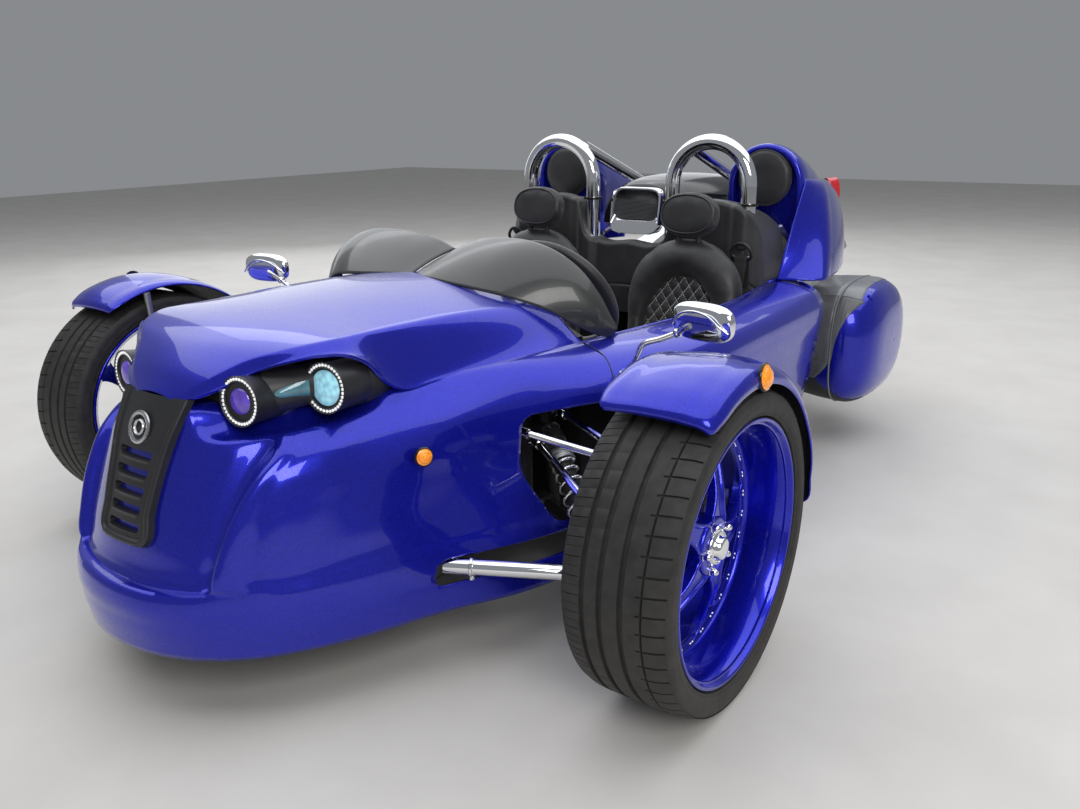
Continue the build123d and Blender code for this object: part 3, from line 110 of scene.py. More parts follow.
# %% [markdown]
# ## Curves and patches
# A table of points becomes a smooth curve by cubic Hermite pieces: on the stretch between knots
# i and i+1, with h its length and s from 0 to 1,
# p(s) = (2s^3-3s^2+1) p_i + (s^3-2s^2+s) h m_i + (3s^2-2s^3) p_(i+1) + (s^3-s^2) h m_(i+1).
# The slopes m come from the neighbouring chords. A patch does this along its columns, then
# along its rows.

# %% Smooth curves, patches and meshes
def smoothstep(low, high, value):
    """0 below low, 1 above high, and s^2 (3 - 2s) between."""
    share = np.clip((np.asarray(value, float) - low) / (high - low), 0, 1)
    return share * share * (3 - 2 * share)


def curve(knots, values, places):
    """Cubic Hermite curve through the values (n or n x k) at the knots, read at the places."""
    knots = np.asarray(knots, float)
    values = np.asarray(values, float)
    flat = values.ndim == 1
    if flat:
        values = values[:, None]
    step = np.diff(knots)
    chord = np.diff(values, axis=0) / step[:, None]
    inner = (chord[:-1] * step[1:, None] + chord[1:] * step[:-1, None]) / (step[1:] + step[:-1])[:, None]
    slope = np.vstack([chord[:1], inner, chord[-1:]])
    places = np.clip(np.asarray(places, float), knots[0], knots[-1])
    piece = np.clip(np.searchsorted(knots, places, side="right") - 1, 0, len(knots) - 2)
    h = step[piece][:, None]
    s = ((places - knots[piece]) / step[piece])[:, None]
    result = (
        (2 * s**3 - 3 * s**2 + 1) * values[piece] + (s**3 - 2 * s**2 + s) * h * slope[piece]
        + (3 * s**2 - 2 * s**3) * values[piece + 1] + (s**3 - s**2) * h * slope[piece + 1]
    )
    return result[:, 0] if flat else result


def chord_knots(table):
    """Knots 0 to 1 by the mean distance between neighbouring points of the table's first axis."""
    gaps = np.linalg.norm(np.diff(table, axis=0), axis=-1)
    gaps = gaps.reshape(len(gaps), -1).mean(axis=1)
    return np.concatenate([[0], np.cumsum(gaps)]) / gaps.sum()


def patch(table, rows, columns):
    """P(u, v): a smooth surface through a table of points, read at the places rows x columns in 0..1."""
    table = np.asarray(table, float)
    across = chord_knots(table.transpose(1, 0, 2))
    along = chord_knots(table)
    wide = np.stack([curve(across, line, columns) for line in table])
    flat = curve(along, wide.reshape(len(table), -1), rows)
    return flat.reshape(len(rows), len(columns), 3)


def places(*stretches):
    """Places from 0 to 1: stretches of (where it ends, how many steps)."""
    marks = [np.zeros(1)]
    for end, count in stretches:
        marks.append(np.linspace(marks[-1][-1], end, count + 1)[1:])
    return np.concatenate(marks)


def grid(name, points, close_rows=False, close_columns=False):
    """A mesh object from a grid of points in metres, rows x columns x 3, shaded smooth."""
    points = np.asarray(points, float)
    index = np.arange(points.shape[0] * points.shape[1]).reshape(points.shape[:2])
    if close_rows:
        index = np.vstack([index, index[:1]])
    if close_columns:
        index = np.hstack([index, index[:, :1]])
    quads = np.stack([index[:-1, :-1], index[1:, :-1], index[1:, 1:], index[:-1, 1:]], axis=-1).reshape(-1, 4)
    return mesh(name, points.reshape(-1, 3), quads)


def smooth(data):
    """Shade all of a mesh's faces smooth."""
    data.polygons.foreach_set("use_smooth", [True] * len(data.polygons))


def mesh(name, points, faces):
    """A smooth-shaded mesh object from points and faces."""
    data = bpy.data.meshes.new(name)
    data.from_pydata(np.asarray(points, float).tolist(), [], [list(map(int, face)) for face in faces])
    data.validate()
    data.update()
    smooth(data)
    data.set_sharp_from_angle(angle=math.radians(42))
    piece = bpy.data.objects.new(name, data)
    scene.collection.objects.link(piece)
    return piece


def coordinates(data):
    """A mesh's vertices as an array n x 3."""
    flat = np.empty(len(data.vertices) * 3)
    data.vertices.foreach_get("co", flat)
    return flat.reshape(-1, 3)


def join(name, pieces):
    """Several mesh objects as one, keeping each one's own material."""
    points, faces, marks, materials = [], [], [], []
    start = 0
    for piece in pieces:
        data = piece.data
        points.append(coordinates(data))
        base = len(materials)
        materials += list(data.materials)
        for polygon in data.polygons:
            faces.append([start + i for i in polygon.vertices])
            marks.append(base + polygon.material_index)
        start += len(data.vertices)
        bpy.data.objects.remove(piece)
    whole = mesh(name, np.vstack(points), faces)
    unique = list(dict.fromkeys(materials))
    for material in unique:
        whole.data.materials.append(material)
    lookup = [unique.index(material) for material in materials]
    if lookup:
        whole.data.polygons.foreach_set("material_index", [lookup[m] for m in marks])
    return whole


def mirrored(points):
    """A half surface whose first column lies on the centre line, made whole by its mirror image."""
    other = points[:, :0:-1] * np.array([-1, 1, 1])
    return np.concatenate([other, points], axis=1)


def flipped(points):
    """The same surface on the other side of the car, its columns turned round to face outwards."""
    return points[:, ::-1] * np.array([-1, 1, 1])


# Walls in metres of the painted body and of the lighter mouldings
BODY_WALL, THIN_WALL = 0.005, 0.004


def thicken(piece, wall, offset=-1):
    """Give a sheet its wall."""
    solid = piece.modifiers.new("wall", "SOLIDIFY")
    solid.thickness = wall
    solid.offset = offset
    return piece


def tube(name, path, radius, sides=24, closed=False):
    """P(t, a) = c(t) + r(t) (n cos a + b sin a): a round tube along a path, with end caps."""
    path = np.asarray([tuple(p) for p in path], float)
    radius = np.broadcast_to(np.asarray(radius, float), (len(path),))
    if closed:
        ahead = np.roll(path, -1, axis=0) - np.roll(path, 1, axis=0)
    else:
        ahead = np.gradient(path, axis=0)
    ahead /= np.linalg.norm(ahead, axis=1)[:, None]
    normal = np.cross(ahead[0], [0.3, 0.5, 0.81])
    frames = []
    for direction in ahead:
        normal = normal - direction * normal.dot(direction)
        normal = normal / np.linalg.norm(normal)
        frames.append((normal, np.cross(direction, normal)))
    angle = np.linspace(0, TAU, sides, endpoint=False)
    rings = [
        centre + r * (np.outer(np.cos(angle), n) + np.outer(np.sin(angle), b))
        for centre, r, (n, b) in zip(path, radius, frames)
    ]
    if not closed:
        rings = [np.repeat(path[:1], sides, axis=0)] + rings + [np.repeat(path[-1:], sides, axis=0)]
    return grid(name, np.stack(rings), close_rows=closed, close_columns=True)


def lathe(name, profile, centre, axis, steps=96, close=False):
    """P(t, a): a profile of (distance along the axis, radius) turned about an axis through centre."""
    profile = np.asarray(profile, float)
    axis = Vector(axis).normalized()
    first = axis.orthogonal().normalized()
    second = axis.cross(first)
    angle = np.linspace(0, TAU, steps, endpoint=False)
    ring = np.outer(np.cos(angle), first) + np.outer(np.sin(angle), second)
    along, radius = profile[:, 0, None, None], profile[:, 1, None, None]
    points = np.asarray(centre)[None, None] + along * np.array(axis) + radius * ring
    return grid(name, points, close_rows=close, close_columns=True)


def smooth_path(points, count):
    """Points along a smooth curve through the given ones."""
    points = np.asarray([tuple(p) for p in points], float)
    return curve(chord_knots(points), points, np.linspace(0, 1, count))


def paint(piece, material):
    """Give a piece its one material."""
    piece.data.materials.clear()
    piece.data.materials.append(material)
    return piece


# %% [markdown]
# ## Camera, floor and light
# The camera stands where the photograph was taken: a focal length of 920 pixels in a frame
# 1080 wide, placed in the car's own frame.

# %% Camera
CAMERA_PLACE = (1.630, -2.546, 1.140)
FOCAL_PIXELS, FRAME_WIDTH = 919.9, 1080
yaw, pitch, roll = 0.622, 0.305, -0.014
forward = Vector((-math.sin(yaw) * math.cos(pitch), math.cos(yaw) * math.cos(pitch), -math.sin(pitch)))
rightward = Vector((math.cos(yaw), math.sin(yaw), 0))
upward = rightward.cross(forward)
tilted_right = rightward * math.cos(roll) + upward * math.sin(roll)
tilted_up = upward * math.cos(roll) - rightward * math.sin(roll)
camera_data = bpy.data.cameras.new("camera")
camera_data.sensor_width = 36
camera_data.lens = FOCAL_PIXELS / FRAME_WIDTH * camera_data.sensor_width
camera_data.clip_end = 60
camera = bpy.data.objects.new("camera", camera_data)
turn = Matrix((tilted_right, tilted_up, -forward)).transposed().to_4x4()
camera.matrix_world = Matrix.Translation(CAMERA_PLACE) @ turn
scene.collection.objects.link(camera)
scene.camera = camera

# %% Floor and studio light
floor = grid("floor", [[(x, y, 0) for x in (-14, 14)] for y in (14, -14)])


def light(name, place, target, size, power, colour=(1, 1, 1)):
    """A soft rectangular light aimed at a point."""
    data = bpy.data.lights.new(name, "AREA")
    data.shape = "RECTANGLE"
    data.size, data.size_y = size
    data.energy = power
    data.color = colour
    lamp = bpy.data.objects.new(name, data)
    lamp.location = place
    lamp.rotation_euler = (Vector(target) - Vector(place)).to_track_quat("-Z", "Y").to_euler()
    scene.collection.objects.link(lamp)


light("sky", (-0.4, 0.6, 4.8), (0, 0, 0.3), (11.0, 9.0), 430, (0.95, 0.97, 1.0))
light("key", (3.6, -3.4, 3.0), (0.2, -0.6, 0.4), (2.4, 2.0), 90, (1.0, 0.98, 0.95))
light("back", (-3.6, 3.6, 2.6), (0, 0.4, 0.6), (6.0, 4.0), 70, (0.95, 0.97, 1.0))
world = bpy.data.worlds.new("world")
world.use_nodes = True
world.node_tree.nodes["Background"].inputs["Color"].default_value = (0.82, 0.85, 0.9, 1)
world.node_tree.nodes["Background"].inputs["Strength"].default_value = 0.30
scene.world = world
scene.view_settings.view_transform = "Standard"
scene.view_settings.look = "None"
print("camera and light are set")

# %% [markdown]
# ## Materials
# Each material is a small node tree on the Principled shader. Shared effects are node groups that
# give masks, colours or normals; the shader itself, and any Fresnel, stays in the material.

# %% Node helpers
class Tree:
    """A material and short calls that add and link its nodes."""

    def __init__(self, name, **settings):
        self.material = bpy.data.materials.new(name)
        self.material.use_nodes = True
        self.tree = self.material.node_tree
        self.shader = self.tree.nodes["Principled BSDF"]
        for key, value in settings.items():
            self.shader.inputs[key.replace("_", " ")].default_value = value

    def add(self, kind, **values):
        """A node; keyword values set its inputs or its own settings."""
        node = self.tree.nodes.new(kind)
        for key, value in values.items():
            if hasattr(node, key):
                setattr(node, key, value)
            else:
                node.inputs[key].default_value = value
        return node

    def link(self, source, target):
        self.tree.links.new(source, target)

    def place(self, scale=(1, 1, 1)):
        """Object coordinates, scaled."""
        coordinates = self.add("ShaderNodeTexCoord")
        mapping = self.add("ShaderNodeMapping")
        mapping.inputs["Scale"].default_value = scale
        self.link(coordinates.outputs["Object"], mapping.inputs["Vector"])
        return mapping.outputs["Vector"]

    def noise(self, scale, detail=4, roughness=0.55, stretch=(1, 1, 1)):
        node = self.add("ShaderNodeTexNoise", Scale=scale, Detail=detail, Roughness=roughness)
        self.link(self.place(stretch), node.inputs["Vector"])
        return node.outputs["Fac"]

    def ramp(self, source, stops):
        """A value turned into colour by stops (position, colour)."""
        node = self.add("ShaderNodeValToRGB")
        for element, (position, colour) in zip(node.color_ramp.elements, (stops[0], stops[-1])):
            element.position, element.color = position, (*colour, 1)
        for position, colour in stops[1:-1]:
            node.color_ramp.elements.new(position).color = (*colour, 1)
        self.link(source, node.inputs["Fac"])
        return node.outputs["Color"]

    def span(self, source, low, high):
        """A value from 0..1 mapped to low..high."""
        node = self.add("ShaderNodeMapRange")
        node.inputs["To Min"].default_value = low
        node.inputs["To Max"].default_value = high
        self.link(source, node.inputs["Value"])
        return node.outputs["Result"]

    def bump(self, source, strength, distance=0.001):
        node = self.add("ShaderNodeBump", Strength=strength, Distance=distance)
        self.link(source, node.inputs["Height"])
        self.link(node.outputs["Normal"], self.shader.inputs["Normal"])
        return node

    def colour(self, source):
        self.link(source, self.shader.inputs["Base Color"])

    def rough(self, source):
        self.link(source, self.shader.inputs["Roughness"])


def shade(colour, share):
    """A colour made darker or lighter by a share, at most 1."""
    return tuple(min(1, share * c) for c in colour)


def dust_group():
    """A node group: a mask of fine dust that gathers low down and in blotches."""
    group = bpy.data.node_groups.new("dust", "ShaderNodeTree")
    group.interface.new_socket("Amount", in_out="INPUT", socket_type="NodeSocketFloat")
    group.interface.new_socket("Mask", in_out="OUTPUT", socket_type="NodeSocketFloat")
    make = group.nodes.new
    enter, leave = make("NodeGroupInput"), make("NodeGroupOutput")
    coordinates, split = make("ShaderNodeTexCoord"), make("ShaderNodeSeparateXYZ")
    blotch, low = make("ShaderNodeTexNoise"), make("ShaderNodeMapRange")
    both, scaled = make("ShaderNodeMath"), make("ShaderNodeMath")
    blotch.inputs["Scale"].default_value = 14
    blotch.inputs["Detail"].default_value = 6
    low.inputs["From Min"].default_value = 0.45
    low.inputs["From Max"].default_value = 0.02
    both.operation = scaled.operation = "MULTIPLY"
    connect = group.links.new
    connect(coordinates.outputs["Object"], blotch.inputs["Vector"])
    connect(coordinates.outputs["Object"], split.inputs["Vector"])
    connect(split.outputs["Z"], low.inputs["Value"])
    connect(low.outputs["Result"], both.inputs[0])
    connect(blotch.outputs["Fac"], both.inputs[1])
    connect(both.outputs["Value"], scaled.inputs[0])
    connect(enter.outputs["Amount"], scaled.inputs[1])
    connect(scaled.outputs["Value"], leave.inputs["Mask"])
    return group


DUST = dust_group()


def dusty(tree, colour, dust_colour, amount):
    """Mix a colour with dust low on the car."""
    group = tree.add("ShaderNodeGroup")
    group.node_tree = DUST
    group.inputs["Amount"].default_value = amount
    mix = tree.add("ShaderNodeMix", data_type="RGBA")
    mix.inputs["B"].default_value = (*dust_colour, 1)
    if isinstance(colour, tuple):
        mix.inputs["A"].default_value = (*colour, 1)
    else:
        tree.link(colour, mix.inputs["A"])
    tree.link(group.outputs["Mask"], mix.inputs["Factor"])
    tree.colour(mix.outputs["Result"])


# %% Paints, metals and plastics
def car_paint(name, deep, bright, metallic=0.6):
    """Clear-coated metallic paint: flakes as fine cells in the colour, a slow drift in the gloss."""
    tree = Tree(
        name, Metallic=metallic, Roughness=0.28, Specular_IOR_Level=0.2,
        Coat_Weight=0.9, Coat_Roughness=0.025, Coat_IOR=1.45,
    )
    flakes = tree.add("ShaderNodeTexVoronoi", Scale=900.0)
    tree.link(tree.place(), flakes.inputs["Vector"])
    grey = tree.add("ShaderNodeRGBToBW")
    tree.link(flakes.outputs["Color"], grey.inputs["Color"])
    tone = tree.ramp(grey.outputs["Val"], [(0.25, deep), (0.8, bright)])
    dusty(tree, tone, (0.20, 0.18, 0.20), 0.03)
    tree.rough(tree.span(tree.noise(9), 0.22, 0.34))
    return tree.material


def metal(name, colour, low, high, grain=60, stretch=(1, 1, 1), bump=0.0):
    """Bare or plated metal with fine marks in its gloss."""
    tree = Tree(name, Metallic=1.0)
    tree.shader.inputs["Base Color"].default_value = (*colour, 1)
    marks = tree.noise(grain, 6, 0.6, stretch)
    tree.rough(tree.span(marks, low, high))
    if bump:
        tree.bump(marks, bump, 0.0006)
    return tree.material


def plastic(name, colour, low, high, grain=420, bump=0.25, dust=0.12):
    """Moulded plastic or powder coat with a fine grain."""
    tree = Tree(name)
    drift = tree.ramp(tree.noise(7), [(0.3, shade(colour, 0.8)), (0.7, shade(colour, 1.25))])
    dusty(tree, drift, (0.16, 0.15, 0.14), dust)
    grains = tree.noise(grain, 3)
    tree.rough(tree.span(grains, low, high))
    tree.bump(grains, bump, 0.0004)
    return tree.material


def leather(name, colour, scale=260):
    """Leather: pebbled cells in the bump, worn tone and a soft sheen."""
    tree = Tree(name, Sheen_Weight=0.15)
    cells = tree.add("ShaderNodeTexVoronoi", Scale=scale)
    cells.feature = "DISTANCE_TO_EDGE"
    tree.link(tree.place(), cells.inputs["Vector"])
    tree.colour(tree.ramp(tree.noise(11, 6), [(0.3, shade(colour, 0.7)), (0.75, shade(colour, 1.6))]))
    tree.rough(tree.span(tree.noise(30), 0.32, 0.5))
    tree.bump(cells.outputs["Distance"], 0.5, 0.0008)
    return tree.material


blue = car_paint("blue_paint", (0.007, 0.009, 0.33), (0.014, 0.022, 0.56))
rim_blue = car_paint("rim_paint", (0.008, 0.010, 0.38), (0.016, 0.025, 0.66), 0.85)
chrome = metal("chrome_plate", (0.86, 0.87, 0.89), 0.03, 0.10, 30)
steel = metal("plated_steel", (0.58, 0.58, 0.60), 0.18, 0.34, 90, (1, 1, 6), 0.1)
disc_steel = metal("ground_disc", (0.50, 0.50, 0.51), 0.22, 0.40, 160, (1, 8, 8), 0.15)
alloy = metal("cast_alloy", (0.42, 0.43, 0.44), 0.32, 0.5, 220, (1, 1, 1), 0.35)
satin = plastic("satin_black", (0.018, 0.018, 0.020), 0.34, 0.46)
gloss_black = plastic("gloss_black", (0.010, 0.010, 0.012), 0.12, 0.2, bump=0.05)
powder = plastic("powder_black", (0.014, 0.014, 0.015), 0.38, 0.52, 500, 0.3)
hide = leather("black_leather", (0.022, 0.022, 0.024))
thread = plastic("white_thread", (0.62, 0.62, 0.60), 0.6, 0.75, 900, 0.4, 0.0)
webbing = plastic("black_webbing", (0.016, 0.016, 0.017), 0.55, 0.7, 900, 0.8, 0.0)


def rubber_material():
    """Tyre rubber: dull black, dusty brown in the tread and low down."""
    tree = Tree("tyre_rubber")
    base = tree.ramp(tree.noise(40, 6), [(0.3, (0.013, 0.013, 0.013)), (0.7, (0.03, 0.029, 0.028))])
    dusty(tree, base, (0.12, 0.105, 0.09), 0.35)
    fine = tree.noise(700, 3)
    tree.rough(tree.span(fine, 0.55, 0.75))
    tree.bump(fine, 0.3, 0.0005)
    return tree.material


def glass_material(name, colour, alpha, roughness):
    """Tinted clear plastic, partly see-through, a little hazier in patches."""
    tree = Tree(name, Roughness=roughness, Alpha=alpha, Coat_Weight=0.5, Coat_Roughness=0.05)
    tree.colour(tree.ramp(tree.noise(5), [(0.3, shade(colour, 0.9)), (0.7, colour)]))
    tree.rough(tree.span(tree.noise(18), roughness, roughness * 1.8))
    return tree.material


def lamp_material(name, colour, glow, scale=160):
    """A lit lens with moulded cells."""
    tree = Tree(name, Roughness=0.12, Coat_Weight=1.0, Emission_Strength=glow)
    cells = tree.add("ShaderNodeTexVoronoi", Scale=scale)
    tree.link(tree.place(), cells.inputs["Vector"])
    tone = tree.ramp(cells.outputs["Distance"], [(0.1, shade(colour, 1.2)), (0.8, shade(colour, 0.75))])
    tree.colour(tone)
    tree.link(tone, tree.shader.inputs["Emission Color"])
    tree.bump(cells.outputs["Distance"], 0.4, 0.001)
    return tree.material


rubber = rubber_material()
smoke = glass_material("smoked_plastic", (0.040, 0.043, 0.042), 0.92, 0.24)
amber = lamp_material("amber_lens", (0.95, 0.28, 0.01), 0.35)
red_lens = lamp_material("red_lens", (0.6, 0.01, 0.02), 0.1)
lens_blue = lamp_material("pale_blue_lens", (0.35, 0.72, 0.90), 0.35, 90)
lens_violet = lamp_material("violet_lens", (0.10, 0.05, 0.45), 0.3, 60)
bead = lamp_material("white_bead", (0.9, 0.92, 0.95), 0.5, 300)
teardrop_blue = lamp_material("teardrop_lens", (0.07, 0.22, 0.28), 0.03, 30)
mirror_glass = metal("mirror_glass", (0.8, 0.82, 0.84), 0.01, 0.03, 8)

floor_tree = Tree("floor_paint", Specular_IOR_Level=0.3)
floor_tone = [(0.3, (0.60, 0.58, 0.55)), (0.7, (0.66, 0.64, 0.61))]
floor_tree.colour(floor_tree.ramp(floor_tree.noise(3, 6), floor_tone))
floor_tree.rough(floor_tree.span(floor_tree.noise(30), 0.7, 0.85))
paint(floor, floor_tree.material)

# The CAD nodes that stay in sight; no finer piece takes their place
CAD_LOOKS = {
    satin: "dashboard floor_tub fender_stays",
    chrome: "roll_hoops hoop_stays",
    powder: "front_frame rear_frame swingarm",
    alloy: "engine knuckle_left knuckle_right",
    steel: "rear_pulley",
    disc_steel: "disc_front_left disc_front_right disc_rear",
    rubber: "drive_belt",
}
for node in nodes.values():
    paint(node, blue)
    smooth(node.data)
for material, names in CAD_LOOKS.items():
    for name in names.split():
        paint(nodes[name], material)
print(len(bpy.data.materials), "materials")

# %% [markdown]
# ## The front body
# One patch from the nose's centre line round the flank to the tail. Each row of the table is a
# line along the car at one height, from the splitter's lower edge to the inner edge under the
# hood and round the cockpit. Two rows close together make the splitter's ledge, and they meet
# again behind the nose's corner.

# %% Body patch
BODY = [
    # x, station and height in millimetres, from the centre of the nose to the tail
    [
        (0, -708, 148), (110, -694, 148), (185, -664, 147), (216, -645, 147), (224, -640, 147),
        (284, -586, 146), (330, -524, 145), (378, -440, 144), (465, -240, 143), (545, -90, 142),
        (600, 120, 141), (624, 560, 140), (626, 960, 140), (608, 1360, 140),
    ],
    [
        (0, -716, 212), (112, -702, 212), (190, -671, 213), (219, -651, 214), (227, -645, 214),
        (289, -590, 215), (335, -527, 215), (382, -441, 215), (467, -240, 215), (552, -60, 215),
        (608, 150, 215), (640, 560, 215), (642, 960, 215), (626, 1368, 215),
    ],
    [
        (0, -716, 270), (112, -701, 270), (190, -669, 271), (218, -649, 273), (226, -643, 275),
        (286, -587, 279), (331, -523, 281), (375, -435, 281), (456, -233, 281), (537, -52, 281),
        (604, 168, 281), (648, 560, 281), (651, 960, 281), (640, 1374, 281),
    ],
    [
        (0, -713, 280), (111, -698, 280), (189, -667, 281), (217, -647, 283), (225, -641, 285),
        (286, -585, 286), (330, -521, 286), (374, -433, 286), (455, -231, 286), (535, -50, 286),
        (603, 170, 286), (648, 560, 286), (651, 960, 286), (641, 1374, 286),
    ],
    [
        (0, -704, 284), (110, -690, 284), (187, -660, 285), (216, -643, 287), (224, -639, 289),
        (285, -584, 292), (329, -519, 292), (373, -431, 292), (453, -229, 292), (533, -47, 292),
        (603, 172, 292), (649, 560, 292), (652, 960, 292), (642, 1375, 292),
    ],
    [
        (0, -681, 285), (107, -669, 285), (182, -644, 286), (213, -630, 290), (223, -637, 293),
        (284, -583, 297), (328, -517, 297), (372, -429, 297), (451, -227, 297), (531, -45, 297),
        (602, 174, 297), (650, 560, 297), (653, 960, 297), (643, 1375, 297),
    ],
    [
        (0, -675, 297), (106, -664, 297), (181, -640, 297), (213, -624, 299), (223, -635, 301),
        (283, -581, 305), (327, -515, 305), (370, -426, 305), (449, -225, 305), (529, -42, 305),
        (602, 176, 305), (650, 560, 305), (654, 960, 305), (645, 1376, 305),
    ],
    [
        (0, -660, 350), (105, -650, 350), (182, -624, 350), (217, -606, 350), (228, -619, 350),
        (282, -571, 350), (325, -506, 350), (366, -416, 350), (440, -214, 350), (518, -27, 350),
        (600, 190, 350), (652, 560, 350), (658, 960, 350), (652, 1378, 350),
    ],
    [
        (0, -636, 430), (105, -624, 430), (188, -592, 430), (228, -570, 430), (240, -583, 430),
        (287, -541, 430), (325, -478, 430), (360, -385, 430), (432, -190, 430), (502, 0, 430), (594, 210, 430),
        (655, 560, 430), (664, 960, 430), (664, 1381, 430),
    ],
    [
        (0, -610, 500), (106, -597, 500), (195, -556, 500), (241, -520, 500), (255, -531, 500),
        (294, -498, 500), (324, -442, 500), (355, -350, 500), (428, -165, 500), (490, 20, 500), (588, 225, 500),
        (658, 560, 500), (670, 960, 500), (674, 1384, 500),
    ],
    [
        (0, -593, 540), (107, -580, 540), (196, -534, 540), (248, -484, 536), (263, -490, 535),
        (294, -458, 531), (318, -410, 532), (345, -325, 534), (415, -148, 540), (476, 40, 545), (575, 240, 550),
        (652, 570, 546), (668, 960, 548), (672, 1386, 550),
    ],
    [
        (0, -577, 578), (104, -563, 578), (184, -518, 573), (236, -462, 566), (248, -460, 565),
        (270, -428, 562), (292, -386, 563), (318, -300, 570), (388, -120, 580), (445, 40, 585), (535, 270, 591),
        (615, 580, 586), (630, 960, 585), (640, 1392, 590),
    ],
    [
        (0, -556, 610), (98, -545, 610), (150, -524, 606), (200, -468, 599), (212, -458, 598), (236, -420, 596),
        (262, -376, 597), (296, -290, 604), (345, -120, 611), (394, 20, 613), (458, 290, 614), (528, 600, 612),
        (560, 960, 610), (545, 1396, 612),
    ],
    [
        (0, -500, 612), (80, -490, 612), (120, -480, 606), (170, -430, 594), (180, -420, 592), (206, -384, 590),
        (232, -350, 590), (268, -280, 598), (312, -120, 606), (352, 0, 606), (428, 316, 606), (476, 540, 609),
        (526, 960, 606), (503, 1342, 609),
    ],
]
RECESS = (np.array([0.168, float(S(-570)), 0.622]), np.array([0.318, float(S(-300)), 0.642]), 0.070)


def capsule_gap(points, capsule):
    """How far points are from a capsule's line, and the nearest place on it."""
    low, high, _ = capsule
    line = high - low
    share = np.clip(((points - low) @ line) / (line @ line), 0, 1)
    nearest = low + share[..., None] * line
    return np.linalg.norm(points - nearest, axis=-1), nearest


def hollow(points, capsule, down, cell=0.004):
    """Snap the nearest points onto a capsule's rim, then push the points inside it to its floor."""
    radius = capsule[2]
    gap, nearest = capsule_gap(points, capsule)
    on_rim = np.abs(gap - radius) < 0.6 * cell
    away = (points - nearest) / gap[..., None]
    points = points + np.where(on_rim, radius - gap, 0)[..., None] * away
    inside = (gap < radius) & ~on_rim
    for _ in range(80):
        gap, nearest = capsule_gap(points, capsule)
        points = points + np.where(inside & (gap < radius), 0.001, 0)[..., None] * down
    near_rim = (np.abs(gap - radius) < 4 * cell)[1:-1, 1:-1, None]
    for _ in range(6):
        mean = (points[:-2, 1:-1] + points[2:, 1:-1] + points[1:-1, :-2] + points[1:-1, 2:]) / 4
        points[1:-1, 1:-1] = np.where(near_rim, mean, points[1:-1, 1:-1])
    return points


body_rows = places((0.12, 6), (0.30, 18), (0.62, 18), (1, 36))
body_columns = places((0.18, 78), (0.42, 42), (1, 32))
body_half = patch(mirrored(metres(BODY)), body_rows, 0.5 + 0.5 * body_columns)
body_half = hollow(body_half, RECESS, unit([-0.10, 0.30, -0.95]))
front_body = thicken(grid("front_body", mirrored(body_half)[:, ::-1]), BODY_WALL)
for material in (blue, satin):
    front_body.data.materials.append(material)
front_body.modifiers["wall"].material_offset = 1


def prism(name, outline, low, high, rounding=0.02):
    """A cutter: an outline of (station, height) in millimetres run along X from low to high."""
    corners = np.stack([S([p[0] for p in outline]), np.array([p[1] for p in outline]) / 1000], axis=-1)
    soft = []
    for index, corner in enumerate(corners):
        before, after = corners[index - 1], corners[(index + 1) % len(corners)]
        a, b = (
            corner + (other - corner) * min(0.45, rounding / np.linalg.norm(other - corner))
            for other in (before, after)
        )
        for t in np.linspace(0, 1, 7):
            soft.append((1 - t) ** 2 * a + 2 * t * (1 - t) * corner + t * t * b)
    soft = np.array(soft)
    ends = [np.column_stack([np.full(len(soft), x), soft]) for x in (low, high)]
    count = len(soft)
    faces = [list(range(count)), list(range(count, 2 * count))[::-1]]
    faces += [[i, count + i, count + (i + 1) % count, (i + 1) % count] for i in range(count)]
    return mesh(name, np.vstack(ends), faces)


def worked_out(piece):
    """A new mesh of a piece with its modifiers worked out."""
    return bpy.data.meshes.new_from_object(piece.evaluated_get(bpy.context.evaluated_depsgraph_get()))


def settle(piece):
    """Make the modifiers' result the piece's own mesh."""
    bpy.context.view_layer.update()
    piece.data = worked_out(piece)
    piece.modifiers.clear()


def cut(piece, cutters):
    """Cut the cutters out of a piece for good, after its other modifiers."""
    for cutter in cutters:
        step = piece.modifiers.new("cut", "BOOLEAN")
        step.object = cutter
        step.operation = "DIFFERENCE"
        step.solver = "EXACT"
    settle(piece)
    for cutter in cutters:
        bpy.data.objects.remove(cutter)
    return piece


UPPER_OPENING = [(-30, 395), (4, 508), (390, 512), (336, 396), (235, 292), (20, 268)]
LOWER_OPENING = [(-272, 205), (-258, 260), (20, 252), (230, 256), (230, 215), (60, 203)]
cutters = [
    prism(f"cutter_{index}_{name}", outline, *sorted((0.33 * side, 0.8 * side)), 0.03)
    for name, side in LEFT_RIGHT for index, outline in enumerate((UPPER_OPENING, LOWER_OPENING))
]
cut(front_body, cutters)
smooth(front_body.data)
fit("car", "body_blue", front_body)
print("front body:", len(front_body.data.polygons), "faces")

# %% [markdown]
# The cockpit's rim turns down inside the body, and the back wall closes it behind.

# %% Cockpit lip and back wall
inner_edge = metres(BODY[-1])
rim_line = curve(chord_knots(inner_edge), inner_edge, np.linspace(0.42, 1, 120))
LIP = ((0, 0), (-0.004, 0.004), (-0.012, 0.006), (-0.05, 0.006))
lip_rows = [rim_line + np.array([0, 0, drop]) - np.array([push, 0, 0]) for drop, push in LIP]
lips = [grid(f"lip_{name}", np.stack(lip_rows) * np.array([side, 1, 1])) for name, side in LEFT_RIGHT]
tail = smooth_path(metres([row[-1] for row in BODY]), 40)
across = np.linspace(-1, 1, 40)
back_wall = np.stack([
    np.column_stack([tail[:, 0] * u, tail[:, 1] + 0.01 * (1 - u * u), tail[:, 2]]) for u in across
], axis=1)
cockpit_rim = join("cockpit_rim", lips + [grid("back_wall", back_wall)])
paint(thicken(cockpit_rim, THIN_WALL, 0), blue)
fit("car", "body_blue", cockpit_rim)
